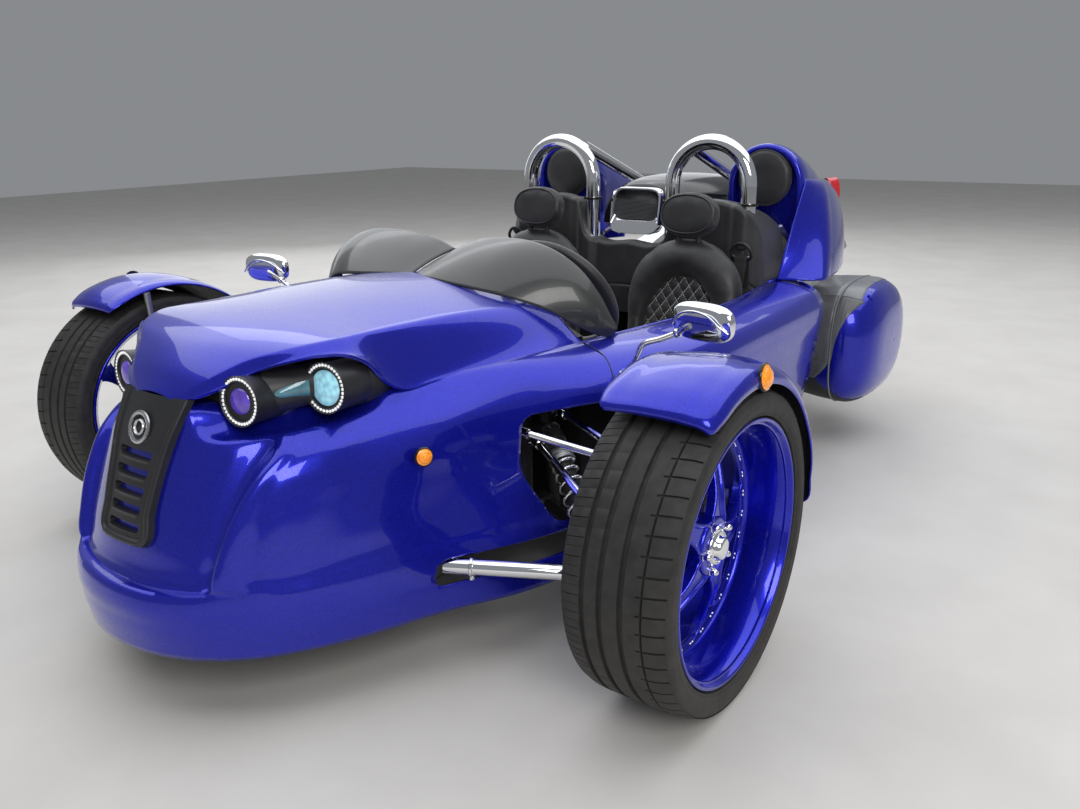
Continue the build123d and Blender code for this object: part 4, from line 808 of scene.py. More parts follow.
shut_path = smooth_path(metres([row[10] for row in BODY[7:]]), 80)
shut_lines = join("shut_lines", [
    paint(tube("line", shut_path * np.array([side, 1, 1]), 0.0013, 8), gloss_black) for _, side in LEFT_RIGHT
])
fit("car", "satin_black", shut_lines)
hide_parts("body_shell")

# %% [markdown]
# ## The hood
# Upright sections from the nose to the screens. The crown is a parabola between the shoulders,
# and each side falls to the edge in a slow S: with s from 0 at the shoulder to 1 at the edge,
# z = shoulder - (shoulder - edge) (0.55 s^2 (3 - 2 s) + 0.45 s).

# %% Hood
HOOD = [
    # station, half width, height of the edge, x and height of the shoulder, height of the crown
    (-560, 60, 622, 46, 627, 632), (-545, 104, 630, 80, 640, 648), (-522, 142, 645, 116, 662, 671),
    (-500, 166, 658, 140, 678, 687), (-470, 192, 675, 168, 695, 705), (-425, 250, 698, 224, 714, 722),
    (-380, 296, 708, 262, 724, 733), (-335, 320, 702, 284, 728, 740), (-290, 330, 676, 290, 728, 745),
    (-250, 334, 630, 292, 727, 748), (-215, 340, 606, 294, 726, 750), (-120, 360, 604, 302, 724, 754),
    (0, 390, 606, 314, 722, 757), (150, 420, 608, 324, 714, 759), (306, 450, 611, 333, 702, 758),
]


def hood_surface(rows, columns):
    """The hood's left half from the centre line out: P(station, side)."""
    table = np.asarray(HOOD, float)
    knots = chord_knots(np.column_stack([table[:, 0], table[:, 1], table[:, 2]]))
    rows = curve(knots, table, np.linspace(0, 1, rows))
    station, half, edge, shoulder_x, shoulder_z, crown = rows.T[:, :, None]
    u = np.linspace(0, 1, columns)[None]
    inner = np.clip(u / 0.62, 0, 1)
    outer = np.clip((u - 0.62) / 0.38, 0, 1)
    x = shoulder_x * inner + (half - shoulder_x) * outer
    fall = outer * outer * (3 - 2 * outer)
    z = crown - (crown - shoulder_z) * inner**2 - (shoulder_z - edge) * (0.55 * fall + 0.45 * outer)
    return metres(np.stack([x, station + 0 * x, z], axis=-1))


hood = thicken(grid("hood_skin", mirrored(hood_surface(104, 42))[:, ::-1]), 0.007)
edge_round = hood.modifiers.new("edge", "BEVEL")
edge_round.width = 0.0025
edge_round.segments = 2
edge_round.limit_method = "ANGLE"
edge_round.angle_limit = math.radians(50)
paint(hood, blue)
fit("car", "body_blue", hood)
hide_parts("hood")
print("hood:", len(hood.data.polygons), "faces")

# %% [markdown]
# ## Tyres
# The tread is one surface P(a, x): the radius follows the tyre's crown and drops into the pattern.
# With g a groove's middle and w its width, its depth is
# d (1 - smoothstep(w / 2 - 0.6 mm, w / 2 + 0.6 mm, |x - g|)).
# The cuts across the shoulders repeat 58 times round, on grid lines that slant with them, so their
# edges stay sharp.

# %% Tyre
PITCHES = 58
# The grooves round the tread: middle, width and depth in millimetres
GROOVES = ((-58, 10, 6.5), (-22, 10.5, 6.5), (20, 10.5, 6.5), (61, 3.4, 5.0))
# Half the width of the tyre for which the pattern was drawn; it is scaled to the others
DRAWN_HALF = 111


def tread_depth(x, phase, half):
    """Depth in millimetres of the pattern at x from the tyre's middle and phase 0..1 of its pitch."""
    scale = half / DRAWN_HALF
    depth = np.zeros(np.broadcast(x, phase).shape)
    for middle, width, deep in GROOVES:
        gap = np.abs(x - middle * scale)
        depth = np.maximum(depth, deep * (1 - smoothstep(width / 2 - 0.6, width / 2 + 0.6, gap)))
    shoulder = smoothstep(60 * scale, 63 * scale, x) * (1 - smoothstep(103 * scale, 108 * scale, x))
    inner = smoothstep(64 * scale, 67 * scale, -x) * (1 - smoothstep(102 * scale, 106 * scale, -x))
    slit = 1 - smoothstep(0.045, 0.06, np.abs(phase - 0.5))
    fine = 1 - smoothstep(0.025, 0.035, np.abs(phase - 0.5))
    second = 1 - smoothstep(0.02, 0.03, np.minimum(phase, 1 - phase))
    depth = np.maximum(depth, 4.2 * shoulder * slit)
    depth = np.maximum(depth, 2.6 * inner * np.maximum(fine, second))
    notch = smoothstep(49 * scale, 50 * scale, x) * (1 - smoothstep(59 * scale, 60 * scale, x))
    depth = np.maximum(depth, 3.4 * notch * slit)
    sipe = 1 - smoothstep(11, 13, np.abs(x + 40 * scale))
    return np.maximum(depth, 1.4 * sipe * fine)


def tyre(name, centre, side, width, radius, lip, body):
    """A tyre round the X axis: bead, plain sidewalls with rings, shoulders and the cut tread."""
    half = width / 2
    bead = [(21, -11), (19, -1), (13, 4), (7, 4.5), (5, 7), (5.5, 10), (2.4, 13), (1.8, 17), (0.6, 19), (0.2, 26)]
    shoulder = [(0.9, 28), (0.3, 26), (2.2, 18), (5.5, 11), (7, 9.2)]
    walls = np.array([(half - x, lip + r) for x, r in bead] + [(half - x, radius - r) for x, r in shoulder])
    base_x = np.linspace(half - 8, -half + 8, 14)
    edges = [
        middle * half / DRAWN_HALF + offset for middle, groove, _ in GROOVES
        for offset in (-groove / 2 - 0.6, -groove / 2 + 0.6, groove / 2 - 0.6, groove / 2 + 0.6)
    ]
    edges += [x * half / DRAWN_HALF for x in (33, 49, 50, 63, 103, 107)]
    tread_x = np.unique(np.round(np.concatenate([base_x, edges]), 3))[::-1]
    share = np.abs(tread_x) / half
    crown = radius - 1.2 - 2.2 * share**2 - 6.8 * smoothstep(0.66, 1.0, share) ** 1.5
    section_x = np.concatenate([walls[:, 0], tread_x, -walls[::-1, 0]])
    section_r = np.concatenate([walls[:, 1], crown, walls[::-1, 1]])
    in_tread = np.concatenate([np.zeros(len(walls)), np.ones(len(tread_x)), np.zeros(len(walls))])
    stops = np.array([0.0, 0.03, 0.44, 0.47, 0.53, 0.56, 0.97])
    phase = np.tile(stops, PITCHES)
    turn = (np.repeat(np.arange(PITCHES), len(stops)) + phase) * TAU / PITCHES
    slant = 0.30 * np.tanh(section_x / 45) * np.abs(section_x) / half * TAU / PITCHES * 1.4
    depth = tread_depth(section_x[None], phase[:, None], half) * in_tread[None]
    r = (section_r[None] - depth) / 1000
    angle = turn[:, None] + slant[None]
    x = centre[0] + side * section_x[None] / 1000 + 0 * angle
    points = np.stack([x, centre[1] + r * np.sin(angle) * side, centre[2] + r * np.cos(angle)], axis=-1)
    piece = paint(grid(name, points, close_rows=True), rubber)
    fit(body, "tyre", piece)
    return piece


WHEELS = {
    # x in metres, station, height in metres, side, then tyre width, tyre radius, rim width, rim radius
    # and the hub's face in millimetres, and the body it rides
    "front_left": (0.908, 0, 0.3275, 1, 222, 327.5, 206, 267, 45, "wheel_left"),
    "front_right": (-0.908, 0, 0.3275, -1, 222, 327.5, 206, 267, 45, "wheel_right"),
    "rear": (0.0, 2270, 0.332, 1, 280, 332, 262, 267, 60, "wheel_rear"),
}
for name, (x, station, z, side, tyre_width, tyre_radius, _, rim_radius, _, body) in WHEELS.items():
    centre = np.array([x, float(S(station)), z])
    rolled = tyre(f"tread_{name}", centre, side, tyre_width - 1, tyre_radius, rim_radius, body)
    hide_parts(f"tyre_{name}")
print("tyres:", len(rolled.data.polygons), "faces each")

# %% [markdown]
# ## Wheels
# A wheel is a turned barrel with a stepped flange, five spokes and a hub. Each spoke is a patch
# P(r, u) whose half width w(r) flares at both ends, so neighbours run together in a U at the hub.
# With e = w - |s| the distance from its edge, a rounded bead 4 sqrt(1 - ((e - 5) / 5)^2) stands
# along both edges and a channel runs between them.

# %% Wheel
SPOKE = np.array([
    # radius, half width, outboard place of the face
    (38, 29, 0), (52, 35, 0), (64, 36, -1), (80, 27, -3), (104, 21.5, -7), (136, 20, -16), (168, 21, -27),
    (194, 27, -35), (210, 38, -39), (222, 54, -41), (228, 68, -41.5),
], float)


def wheel_point(centre, side, outboard, radius, angle):
    """A point of a wheel in metres from millimetres outboard and radius, turned from upright."""
    return np.stack([
        centre[0] + side * outboard / 1000 + 0 * angle,
        centre[1] + radius * np.sin(angle) / 1000,
        centre[2] + radius * np.cos(angle) / 1000,
    ], axis=-1)


def spoke(centre, side, face, turn):
    """One spoke as a closed strip: front with beads and channel, side walls and back."""
    t = np.linspace(0, 1, 34)
    radius, half, place = curve(chord_knots(SPOKE[:, :2]), SPOKE, t).T
    u = np.concatenate([-np.array([1, 1, 0.999]), -np.linspace(0.985, 0.4, 11), np.linspace(-0.3, 0.3, 4)])
    u = np.concatenate([u, np.linspace(0.4, 0.985, 11), [0.999, 1, 1]])
    lateral = half[:, None] * u[None]
    edge = half[:, None] - np.abs(lateral)
    inside = np.clip(edge, 0, 10)
    bead = 4.0 * np.sqrt(np.clip(1 - ((inside - 5) / 5) ** 2, 0, 1))
    front = place[:, None] + bead - 3.2 * smoothstep(8, 15, edge)
    front[:, :2] = place[:, None] - np.array([16.0, 2.0])
    front[:, -2:] = place[:, None] - np.array([2.0, 16.0])
    radius = radius[:, None] + 0 * lateral
    angle = turn + lateral / np.maximum(radius, 1)
    angle = np.where(radius < 66, turn + np.arctan2(lateral, radius), angle)
    return grid("spoke", wheel_point(centre, side, face + front - 3, radius, angle), close_columns=True)


SPOKES, RIVET_PAIRS = 5, 30
CAP = [
    # outboard of the hub's face, radius
    (-1, 0), (-1, 38), (4, 38), (6, 36.5), (8, 34), (9, 33), (9, 31), (7.5, 30), (7.5, 26.5), (10, 25),
    (17, 23.5), (20.5, 21), (22, 17), (22.4, 10), (22.6, 0),
]
NUT = [(0, 0), (0, 9.5), (2, 9.5), (2.6, 8), (11, 7.8), (12, 7.2), (15.5, 5.2), (17.2, 2.6), (17.6, 0)]
RIVET = [(0, 3.4), (1.6, 3.4), (2.8, 2.6), (3.4, 1.2), (3.6, 0)]


def turned(name, profile, centre, axis, steps, material):
    """A lathe piece from a profile in millimetres, painted."""
    return paint(lathe(name, np.array(profile) / 1000, centre, axis, steps), material)


def wheel(name, centre, side, width, lip, face, body, turn):
    """A whole wheel: barrel, flange with paired rivets, spokes, hub, nuts and cap."""
    half = width / 2
    step = face - 43
    barrel = [
        (half - 1.5, lip - 0.2), (half - 0.2, lip - 2), (half - 0.2, lip - 5), (half - 1.5, lip - 7),
        (half - 4, lip - 8), (half - 9, lip - 10), (half - 16, lip - 14.5), (half - 30, lip - 19),
        (half - 50, lip - 22.5), (step + 12, lip - 24.5), (step + 3, lip - 26), (step + 0.6, lip - 28),
        (step, lip - 31), (step - 0.5, lip - 44), (step - 2, lip - 46), (step - 8, lip - 46.5),
        (step - 12, lip - 44), (step - 14, lip - 34), (step - 18, lip - 31), (-half + 40, lip - 31),
        (-half + 22, lip - 24), (-half + 6, lip - 9), (-half + 1, lip - 7), (-half + 0.2, lip - 5),
        (-half + 0.2, lip - 2), (-half + 1.5, lip - 0.2), (-half + 8, lip - 1), (-half + 12, lip - 14),
        (-half + 40, lip - 16), (half - 40, lip - 16), (half - 12, lip - 14), (half - 8, lip - 1),
    ]
    profile = np.array(barrel) / 1000
    painted = [paint(lathe("barrel", profile, centre, (side, 0, 0), 104, close=True), rim_blue)]
    out = (side, 0, 0)
    hub = [(-34, 0), (-34, 61), (-8, 61), (-3.5, 60), (-1, 57.5), (0, 54), (0, 0)]
    painted.append(turned("hub", [(face + a, r) for a, r in hub], centre, out, 96, rim_blue))
    for index in range(SPOKES):
        painted.append(paint(spoke(centre, side, face, turn + TAU / SPOKES * index), rim_blue))
    bright = [turned("cap", [(face + a, r) for a, r in CAP], centre, out, 80, chrome)]
    for index in range(SPOKES):
        angle = turn + TAU / SPOKES * (index + 0.5)
        place = wheel_point(centre, side, face - 1.0, 49.0, np.array(angle))
        bright.append(turned("nut", NUT, place, out, 12, chrome))
    for index in range(RIVET_PAIRS):
        for offset in (-0.020, 0.020):
            angle = TAU / RIVET_PAIRS * index + offset
            place = wheel_point(centre, side, step - 0.4, lip - 37.5, np.array(angle))
            bright.append(turned("rivet", RIVET, place, out, 10, chrome))
    piece = join(f"wheel_{name}", painted + bright)
    fit(body, "rim_blue", piece)
    return piece


for name, (x, station, z, side, _, _, rim_width, rim_radius, face, body) in WHEELS.items():
    centre = np.array([x, float(S(station)), z])
    dressed = wheel(name, centre, side, rim_width, rim_radius, face, body, 0.31)
    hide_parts(f"rim_{name}")
print("wheels:", len(dressed.data.polygons), "faces each")

# %% [markdown]
# ## Headlamps
# Both lamps of a pair look straight ahead out of one black housing. A pod is a turned profile, a
# ring of beads sits in its rim, and a turned reflector holds the lens.

# %% Headlamps
LAMP_AIM = unit([0.10, -0.99, 0.07])
# Beads in the ring round a lamp
BEADS = 36
LAMPS = (
    # x, station and height of the lamp's face, radius of its rim, lens radius, lens material
    (190, -502, 627, 50, 27, lens_violet),
    (288, -375, 638, 52, 37, lens_blue),
)


def lamp(side, x, station, z, radius, lens_radius, lens):
    """One lamp: pod with a seam, bead ring, bezel and lens."""
    face = np.array([side * x / 1000, float(S(station)), z / 1000])
    aim = LAMP_AIM * np.array([side, 1, 1])
    r = radius
    pod = [
        (-4, 0), (-4, r - 13), (-1, r - 12.5), (0.5, r - 11), (-1.4, r - 10), (-2.2, r - 6), (-1.4, r - 2.2),
        (1, r - 1.5), (1.6, r - 0.6), (0.6, r), (-2, r), (-12, r - 1.6), (-40, r - 3), (-84, r - 2),
        (-86, r - 3.2), (-88, r - 2), (-150, r - 3), (-170, r - 12), (-172, 0),
    ]
    pieces = [turned("pod", pod, face, aim, 96, satin)]
    bowl = [
        (-3.6, r - 12.6), (-6, r - 14), (-9, lens_radius + 3), (-8, lens_radius + 1.5),
        (-5, lens_radius + 0.6), (-5, lens_radius),
    ]
    pieces.append(turned("bezel", bowl, face, aim, 72, gloss_black if lens is lens_violet else chrome))
    dome = [(-5.5 + 9 * math.sqrt(max(0, 1 - t * t)), lens_radius * t) for t in np.linspace(1, 0, 12)]
    pieces.append(turned("lens", dome, face, aim, 48, lens))
    first = Vector(aim).orthogonal().normalized()
    second = Vector(aim).cross(first)
    for index in range(BEADS):
        angle = TAU / BEADS * index
        ring = (r - 6.1) / 1000
        radial = math.cos(angle) * np.array(first) + math.sin(angle) * np.array(second)
        place = face + ring * radial - 0.0022 * aim
        pieces.append(turned("bead", [(0, 3.5), (1.6, 3.3), (2.8, 2.2), (3.3, 0)], place, aim, 8, bead))
    return pieces


def housing(side):
    """The black bridge between the pods, a bent tube with a long drop-shaped lens in its flank."""
    spine = [(186, -440, 630), (206, -408, 632), (232, -350, 636), (262, -290, 640)]
    spine = smooth_path([at(side * x, station, z) for x, station, z in spine], 40)
    radius = np.interp(np.linspace(0, 1, 40), [0, 0.3, 0.7, 1], [0.045, 0.042, 0.041, 0.045])
    pieces = [paint(tube("bridge", spine, radius, 40), satin)]
    t = np.linspace(0, 1, 24)
    u = np.linspace(-1, 1, 14)
    out = np.array([side * 0.82, -0.57, 0.05])
    start, end = spine[3] + 0.043 * out, spine[20] + 0.041 * out
    along = start + t[:, None] * (end - start)
    half = 0.021 * np.sqrt(t) * (1 - 0.18 * t**3)
    rise = np.array([side * 0.10, -0.10, 1.0])
    bulge = 0.006 * (1 - u[None] ** 2) * smoothstep(0, 0.25, t)[:, None]
    drop = along[:, None] + (half[:, None] * u[None])[..., None] * rise + bulge[..., None] * out
    pieces.append(paint(thicken(grid("drop", drop), THIN_WALL, 0), teardrop_blue))
    return pieces


for name, side in LEFT_RIGHT:
    pieces = housing(side)
    for row in LAMPS:
        pieces += lamp(side, *row)
    piece = join(f"lamp_pair_{name}", pieces)
    fit("car", "satin_black", piece)
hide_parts("headlamp_pods", "headlamp_lenses")
print("lamp pair:", len(piece.data.polygons), "faces")

# %% [markdown]
# ## Grille
# The panel is a height field over the nose: with u across and v up, a rounded border stands
# along its edge, the ring stands at the top, and each slot is a pit with a raised lower lip.

# %% Grille
GRILLE_EDGE = [
    # height, station of the nose there, half width
    (352, -667, 66), (356, -666, 70), (420, -647, 76), (500, -618, 84), (560, -594, 93), (600, -572, 99),
    (626, -556, 102),
]
SLOTS = [0.115, 0.235, 0.355, 0.475, 0.595]
GRILLE_OUT = np.array([0, -0.955, 0.296])


def grille_surface(rows, columns):
    """The grille as a grid of points: P(v, u) = base + height field along the outward normal."""
    table = np.array(GRILLE_EDGE, float)
    v = np.linspace(0, 1, rows)
    z, station, half = curve(chord_knots(table[:, :2]), table, v).T
    u = np.concatenate([[-1, -1], np.linspace(-1, 1, columns - 4), [1, 1]])
    x = half[:, None] * u[None]
    length = 292.0
    y = station[:, None] + 13 * (x / 100) ** 2
    side_gap = half[:, None] - np.abs(x)
    end_gap = np.minimum(v * length, 400)[:, None]
    corner = 22.0
    inner = np.hypot(np.clip(corner - side_gap, 0, None), np.clip(corner - end_gap, 0, None))
    edge = corner - inner
    bead_arc = np.sqrt(np.clip(1 - ((np.clip(edge, 0, 12) - 6) / 6) ** 2, 0, 1))
    height = 9 + 3.2 * bead_arc - 3.5 * smoothstep(9, 17, edge)
    for middle in SLOTS:
        wide = 0.60 * half[:, None]
        across = np.abs(x) - wide + 7
        up = (v[:, None] - middle) * length
        box = np.hypot(np.clip(across, 0, None), np.clip(np.abs(up) - 0.5, 0, None)) - 6.5
        height -= 17 * (1 - smoothstep(-1.2, 1.2, box))
        lip = (1 - smoothstep(1, 5, across)) * np.exp(-(((up + 9.5) / 3.2) ** 2))
        height += 3.4 * lip
    height[:, 0] = height[:, -1] = -6
    height[0] = -6
    points = np.stack([x, y, z[:, None] + 0 * x], axis=-1)
    points[..., 1] -= FRONT_AXLE
    return (points + height[..., None] * GRILLE_OUT) / 1000


grille = paint(grid("grille", grille_surface(176, 92)), satin)
ring_centre = point(0, -589, 566) + 0.011 * GRILLE_OUT
rings = []
for radius, wide in ((29, 4.6), (14, 2.6)):
    profile = [(-2, -wide), (1, -wide + 0.6), (2.6, 0), (1, wide - 0.6), (-2, wide)]
    profile = [(out, radius + r) for out, r in profile]
    rings.append(turned("ring", profile, ring_centre, (0, -0.945, 0.327), 72, steel))
rings = join("grille_ring", rings)
fit("car", "satin_black", grille, rings)
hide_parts("grille_panel")
print("grille:", len(grille.data.polygons), "faces")

# %% [markdown]
# ## Fenders
# A fender is a patch in polar places round its axle: t outboard of the wheel's middle, radius r,
# and turn a, rearwards from upright. P = (x + t, y + r sin a, z + r cos a).

# %% Fenders
FENDER = [
    # turn in degrees, then outboard place and radius from the inner edge to the skirt's lip
    (-30.5, [(-104, 352), (-98, 353), (-60, 356), (0, 357), (56, 354), (86, 349), (96, 343), (98, 338)]),
    (-29.5, [(-114, 357), (-108, 359), (-66, 365), (0, 368), (60, 364), (94, 355), (104, 345), (106, 338)]),
    (-26, [(-122, 358), (-116, 361), (-70, 369), (0, 374), (62, 370), (98, 359), (109, 346), (111, 337)]),
    (-14, [(-127, 358), (-121, 362), (-72, 371), (0, 377), (64, 373), (102, 361), (112, 347), (113, 336)]),
    (10, [(-128, 357), (-122, 361), (-72, 371), (0, 377), (64, 373), (103, 361), (113, 346), (114, 334)]),
    (50, [(-128, 357), (-122, 360), (-72, 368), (0, 373), (64, 369), (103, 359), (113, 347), (114, 337)]),
    (82, [(-126, 356), (-120, 359), (-70, 364), (0, 367), (62, 364), (100, 357), (111, 348), (112, 341)]),
    (92, [(-118, 355), (-112, 357), (-64, 360), (0, 362), (58, 360), (92, 355), (102, 348), (104, 343)]),
    (93.5, [(-104, 353), (-98, 354), (-56, 355), (0, 356), (50, 355), (82, 351), (90, 347), (92, 344)]),
]


def polar_patch(table, centre, side, rows, columns):
    """A patch whose table is in (turn, outboard, radius), turned into points round an axle."""
    cells = np.array([[(math.radians(turn) * 360, t, r) for t, r in row] for turn, row in table], float)
    turn, outboard, radius = np.moveaxis(patch(cells, rows, columns), -1, 0)
    return wheel_point(centre, side, outboard, radius, turn / 360)


def marker(name, centre, axis, radius, material, height=0.011):
    """A round lamp: a dark bezel and a domed lens with rings."""
    rim = [(-2, 0), (-2, radius + 3.5), (1.5, radius + 3.2), (3.4, radius + 1.6), (3.0, radius)]
    dome = [
        (3 + 1000 * height * (1 - (t * t)) + 0.5 * math.cos(9 * TAU * t / 3), radius * t)
        for t in np.linspace(1, 0, 22)
    ]
    return join(name, [
        turned("rim", rim, centre, axis, 48, gloss_black), turned("dome", dome, centre, axis, 48, material),
    ])


for name, side in LEFT_RIGHT:
    x, station, z = WHEELS[f"front_{name}"][:3]
    centre = np.array([x, float(S(station)), z])
    skin = polar_patch(FENDER, centre, side, places((0.06, 6), (0.94, 52), (1, 6)), places((1, 40)))
    fender = thicken(grid(f"fender_{name}", skin if side < 0 else skin[:, ::-1]), THIN_WALL)
    for material in (blue, satin):
        fender.data.materials.append(material)
    fender.modifiers["wall"].material_offset = 1
    fender.modifiers["wall"].material_offset_rim = 0
    lamp_at = np.array([side * 1.0205, float(S(34)), z + 0.3475])
    dome = marker(f"fender_lamp_{name}", lamp_at, (side, -0.02, 0.12), 24, amber)
    fit(f"knuckle_{name}", "body_blue", fender)
    fit(f"knuckle_{name}", "lamp_amber", dome)
    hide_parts(f"fender_{name}")
print("fender:", len(fender.data.polygons), "faces")

# %% [markdown]
# ## Screens
# Each smoked screen is a patch from its foot on the hood to its free edge, blown out between them
# by 4 b v (1 - v), with v the share of the way up.

# %% Screens
SCREEN_FOOT = [
    (6, 196, 752), (70, 176, 752), (150, 166, 747), (240, 172, 738), (320, 206, 719), (378, 250, 692),
    (424, 296, 655), (456, 340, 628), (476, 388, 612),
]
SCREEN_EDGE = [
    (6, 372, 796), (50, 364, 816), (110, 356, 831), (190, 350, 839), (280, 344, 835), (350, 344, 815),
    (410, 352, 776), (452, 366, 720), (482, 398, 634),
]


def screen_surface(rows, columns):
    """The left screen: foot to edge along v, from the valley outwards along u."""
    foot, edge = (smooth_path(line, columns) for line in (SCREEN_FOOT, SCREEN_EDGE))
    v = np.linspace(0, 1, rows)[:, None, None]
    away = np.array([0.12, -0.25, 0.95]) * np.ones((columns, 1))
    away[:, 0] += 1.1 * smoothstep(0.55, 1, np.linspace(0, 1, columns))
    blow = 17 * np.sin(np.pi * np.clip(np.linspace(0.03, 0.92, columns), 0, 1)) ** 0.5
    return metres((1 - v) * foot + v * edge + 4 * v * (1 - v) * (blow[:, None] * away))


screen_half = screen_surface(28, 64)
for name, side in LEFT_RIGHT:
    screen = thicken(grid(f"screen_{name}", screen_half if side > 0 else flipped(screen_half)), THIN_WALL)
    rim = smooth_path(screen_half[-1] * np.array([side, 1, 1]), 120)
    border = paint(tube(f"screen_rim_{name}", rim, 0.0032, 10), gloss_black)
    paint(screen, smoke)
    fit("car", "smoked_screen", screen)
    fit("car", "satin_black", border)
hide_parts("windscreens")

# %% [markdown]
# ## Haunches and fairings
# The haunch is a patch from the body's seam to its crest. The fairing behind each seat is an arch
# run along the car: its section is the curve (x, z) = (c + h cos a, top + rise sin a) on straight
# sides.

# %% Haunches
HAUNCH = [
    [
        (520, 1358, 614), (600, 1388, 614), (650, 1424, 614), (646, 1500, 614), (630, 1620, 614),
        (600, 1760, 614), (548, 1920, 614), (470, 2072, 616),
    ],
    [
        (522, 1376, 650), (592, 1416, 650), (640, 1458, 650), (638, 1530, 650), (624, 1640, 650),
        (597, 1770, 650), (546, 1925, 650), (469, 2082, 652),
    ],
    [
        (524, 1400, 700), (584, 1450, 700), (626, 1500, 700), (626, 1565, 700), (614, 1668, 700),
        (590, 1785, 700), (542, 1932, 700), (466, 2090, 700),
    ],
    [
        (528, 1430, 760), (576, 1488, 760), (608, 1545, 760), (606, 1610, 760), (596, 1695, 760),
        (574, 1800, 760), (532, 1940, 760), (462, 2094, 756),
    ],
    [
        (531, 1462, 820), (566, 1524, 822), (588, 1585, 824), (582, 1648, 822), (572, 1722, 820),
        (551, 1815, 818), (515, 1945, 812), (455, 2088, 806),
    ],
    [
        (533, 1492, 872), (556, 1556, 876), (566, 1618, 878), (558, 1678, 876), (546, 1744, 874),
        (526, 1828, 870), (494, 1945, 860), (446, 2072, 848),
    ],
    [
        (532, 1516, 908), (544, 1578, 908), (544, 1638, 906), (534, 1696, 903), (520, 1758, 901),
        (500, 1836, 897), (470, 1942, 886), (432, 2052, 872),
    ],
    [
        (528, 1530, 922), (530, 1590, 918), (522, 1648, 914), (511, 1704, 911), (497, 1762, 908),
        (476, 1838, 903), (448, 1940, 892), (414, 2040, 877),
    ],
    [
        (516, 1536, 915), (506, 1600, 908), (494, 1656, 903), (483, 1708, 899), (470, 1762, 895),
        (450, 1836, 888), (424, 1934, 876), (396, 2030, 860),
    ],
]
FAIRING = [
    # station, centre x, half width, foot, top of the straight sides, crown
    (1514, 400, 130, 690, 905, 1036), (1530, 400, 131, 690, 905, 1037), (1640, 402, 118, 700, 890, 1012),
    (1840, 402, 84, 720, 846, 950), (2040, 400, 50, 740, 800, 880),
]


def arch(centre, half, foot, top, crown, count):
    """An arch's outline from its outer foot over its crown to its inner foot, as (x, z)."""
    angle = np.linspace(0, np.pi, count)
    bow = np.column_stack([centre + half * np.cos(angle), top + (crown - top) * np.sin(angle)])
    sides = np.linspace(0, 1, 10)[:-1, None]
    outer = (1 - sides) * [[centre + half, foot]] + sides * [[centre + half, top]]
    inner = (1 - sides[::-1]) * [[centre - half, foot]] + sides[::-1] * [[centre - half, top]]
    return np.vstack([outer, bow, inner])


def fairing_skin():
    """The fairing's shell: arches along the car, from a rolled front border to the tail."""
    table = np.array(FAIRING, float)
    stations = np.concatenate([np.linspace(0, 0.06, 4), np.linspace(0.08, 1, 40)])
    rows = []
    for station, centre, half, foot, top, crown in curve(chord_knots(table[:, :1]), table, stations):
        outline = arch(centre, half, foot, top, crown, 50)
        rows.append(np.column_stack([outline[:, 0], np.full(len(outline), station), outline[:, 1]]))
    station, centre, half, foot, top, crown = FAIRING[0]
    roll = []
    for turn in np.linspace(np.pi, 0, 9):
        inset = 11 * (1 - math.cos(turn)) / 2 * 1.7
        outline = arch(centre, half - inset, foot + inset, top, crown - inset, 50)
        border = np.full(len(outline), station - 9 * math.sin(turn))
        roll.append(np.column_stack([outline[:, 0], border, outline[:, 1]]))
    deep = roll[0].copy()
    deep[:, 1] = 1538
    return metres([deep] + roll[:-1] + rows)


haunch_half = patch(metres(HAUNCH), places((1, 52)), places((0.3, 28), (1, 46)))
fairing_half = fairing_skin()
# The plate that closes a fairing's front: rings that shrink to its middle
PLATE_X, PLATE_STATION, PLATE_Z = 400, 1536.0, 850
plate_outline = arch(PLATE_X, 113, 700, 905, 1018, 50)
plate = metres([
    np.column_stack([
        PLATE_X + (plate_outline[:, 0] - PLATE_X) * k, np.full(len(plate_outline), PLATE_STATION),
        PLATE_Z + (plate_outline[:, 1] - PLATE_Z) * k,
    ]) for k in np.linspace(1, 0.02, 12)
])
for name, side in LEFT_RIGHT:
    haunch_side, fairing_side, plate_side = (
        half if side > 0 else flipped(half) for half in (haunch_half, fairing_half, plate)
    )
    haunch = thicken(grid(f"haunch_{name}", haunch_side), BODY_WALL)
    fairing = thicken(grid(f"fairing_{name}", fairing_side), THIN_WALL, 0)
    face = grid(f"fairing_face_{name}", plate_side)
    # The flap below the face, with its bolt
    flap_line = [(528, 1500, 800), (548, 1470, 770), (560, 1440, 730), (556, 1425, 700)]
    flap_path = smooth_path([at(side * x, s, z) for x, s, z in flap_line], 24)
    wide = np.array([-0.55 * side, 0.15, -0.35])
    swell = (0.55 + 0.45 * np.sin(np.linspace(0.2, 2.9, 24)))[:, None]
    flap = np.stack([flap_path + wide * 0.07 * k * swell for k in np.linspace(0, 1, 10)], axis=1)
    flap = thicken(grid(f"flap_{name}", flap), THIN_WALL, 0)
    head = [(0, 0), (0, 9), (1.4, 9), (2.2, 6), (5, 5.6), (6.4, 3.6), (7, 0)]
    bolt_at = point(side * 535, 1438, 716)
    bolt = join(f"flap_bolt_{name}", [turned("bolt", head, bolt_at, (side * -0.25, -0.9, 0.3), 16, steel)])
    for piece in (haunch, fairing, face, flap):
        paint(piece, blue)
    fit("car", "body_blue", haunch, fairing, face, flap)
    fit("car", "bright_steel", bolt)
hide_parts("rear_haunches")
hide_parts("rear_fairings")
print("haunch:", len(haunch.data.polygons), "faces, fairing:", len(fairing.data.polygons))

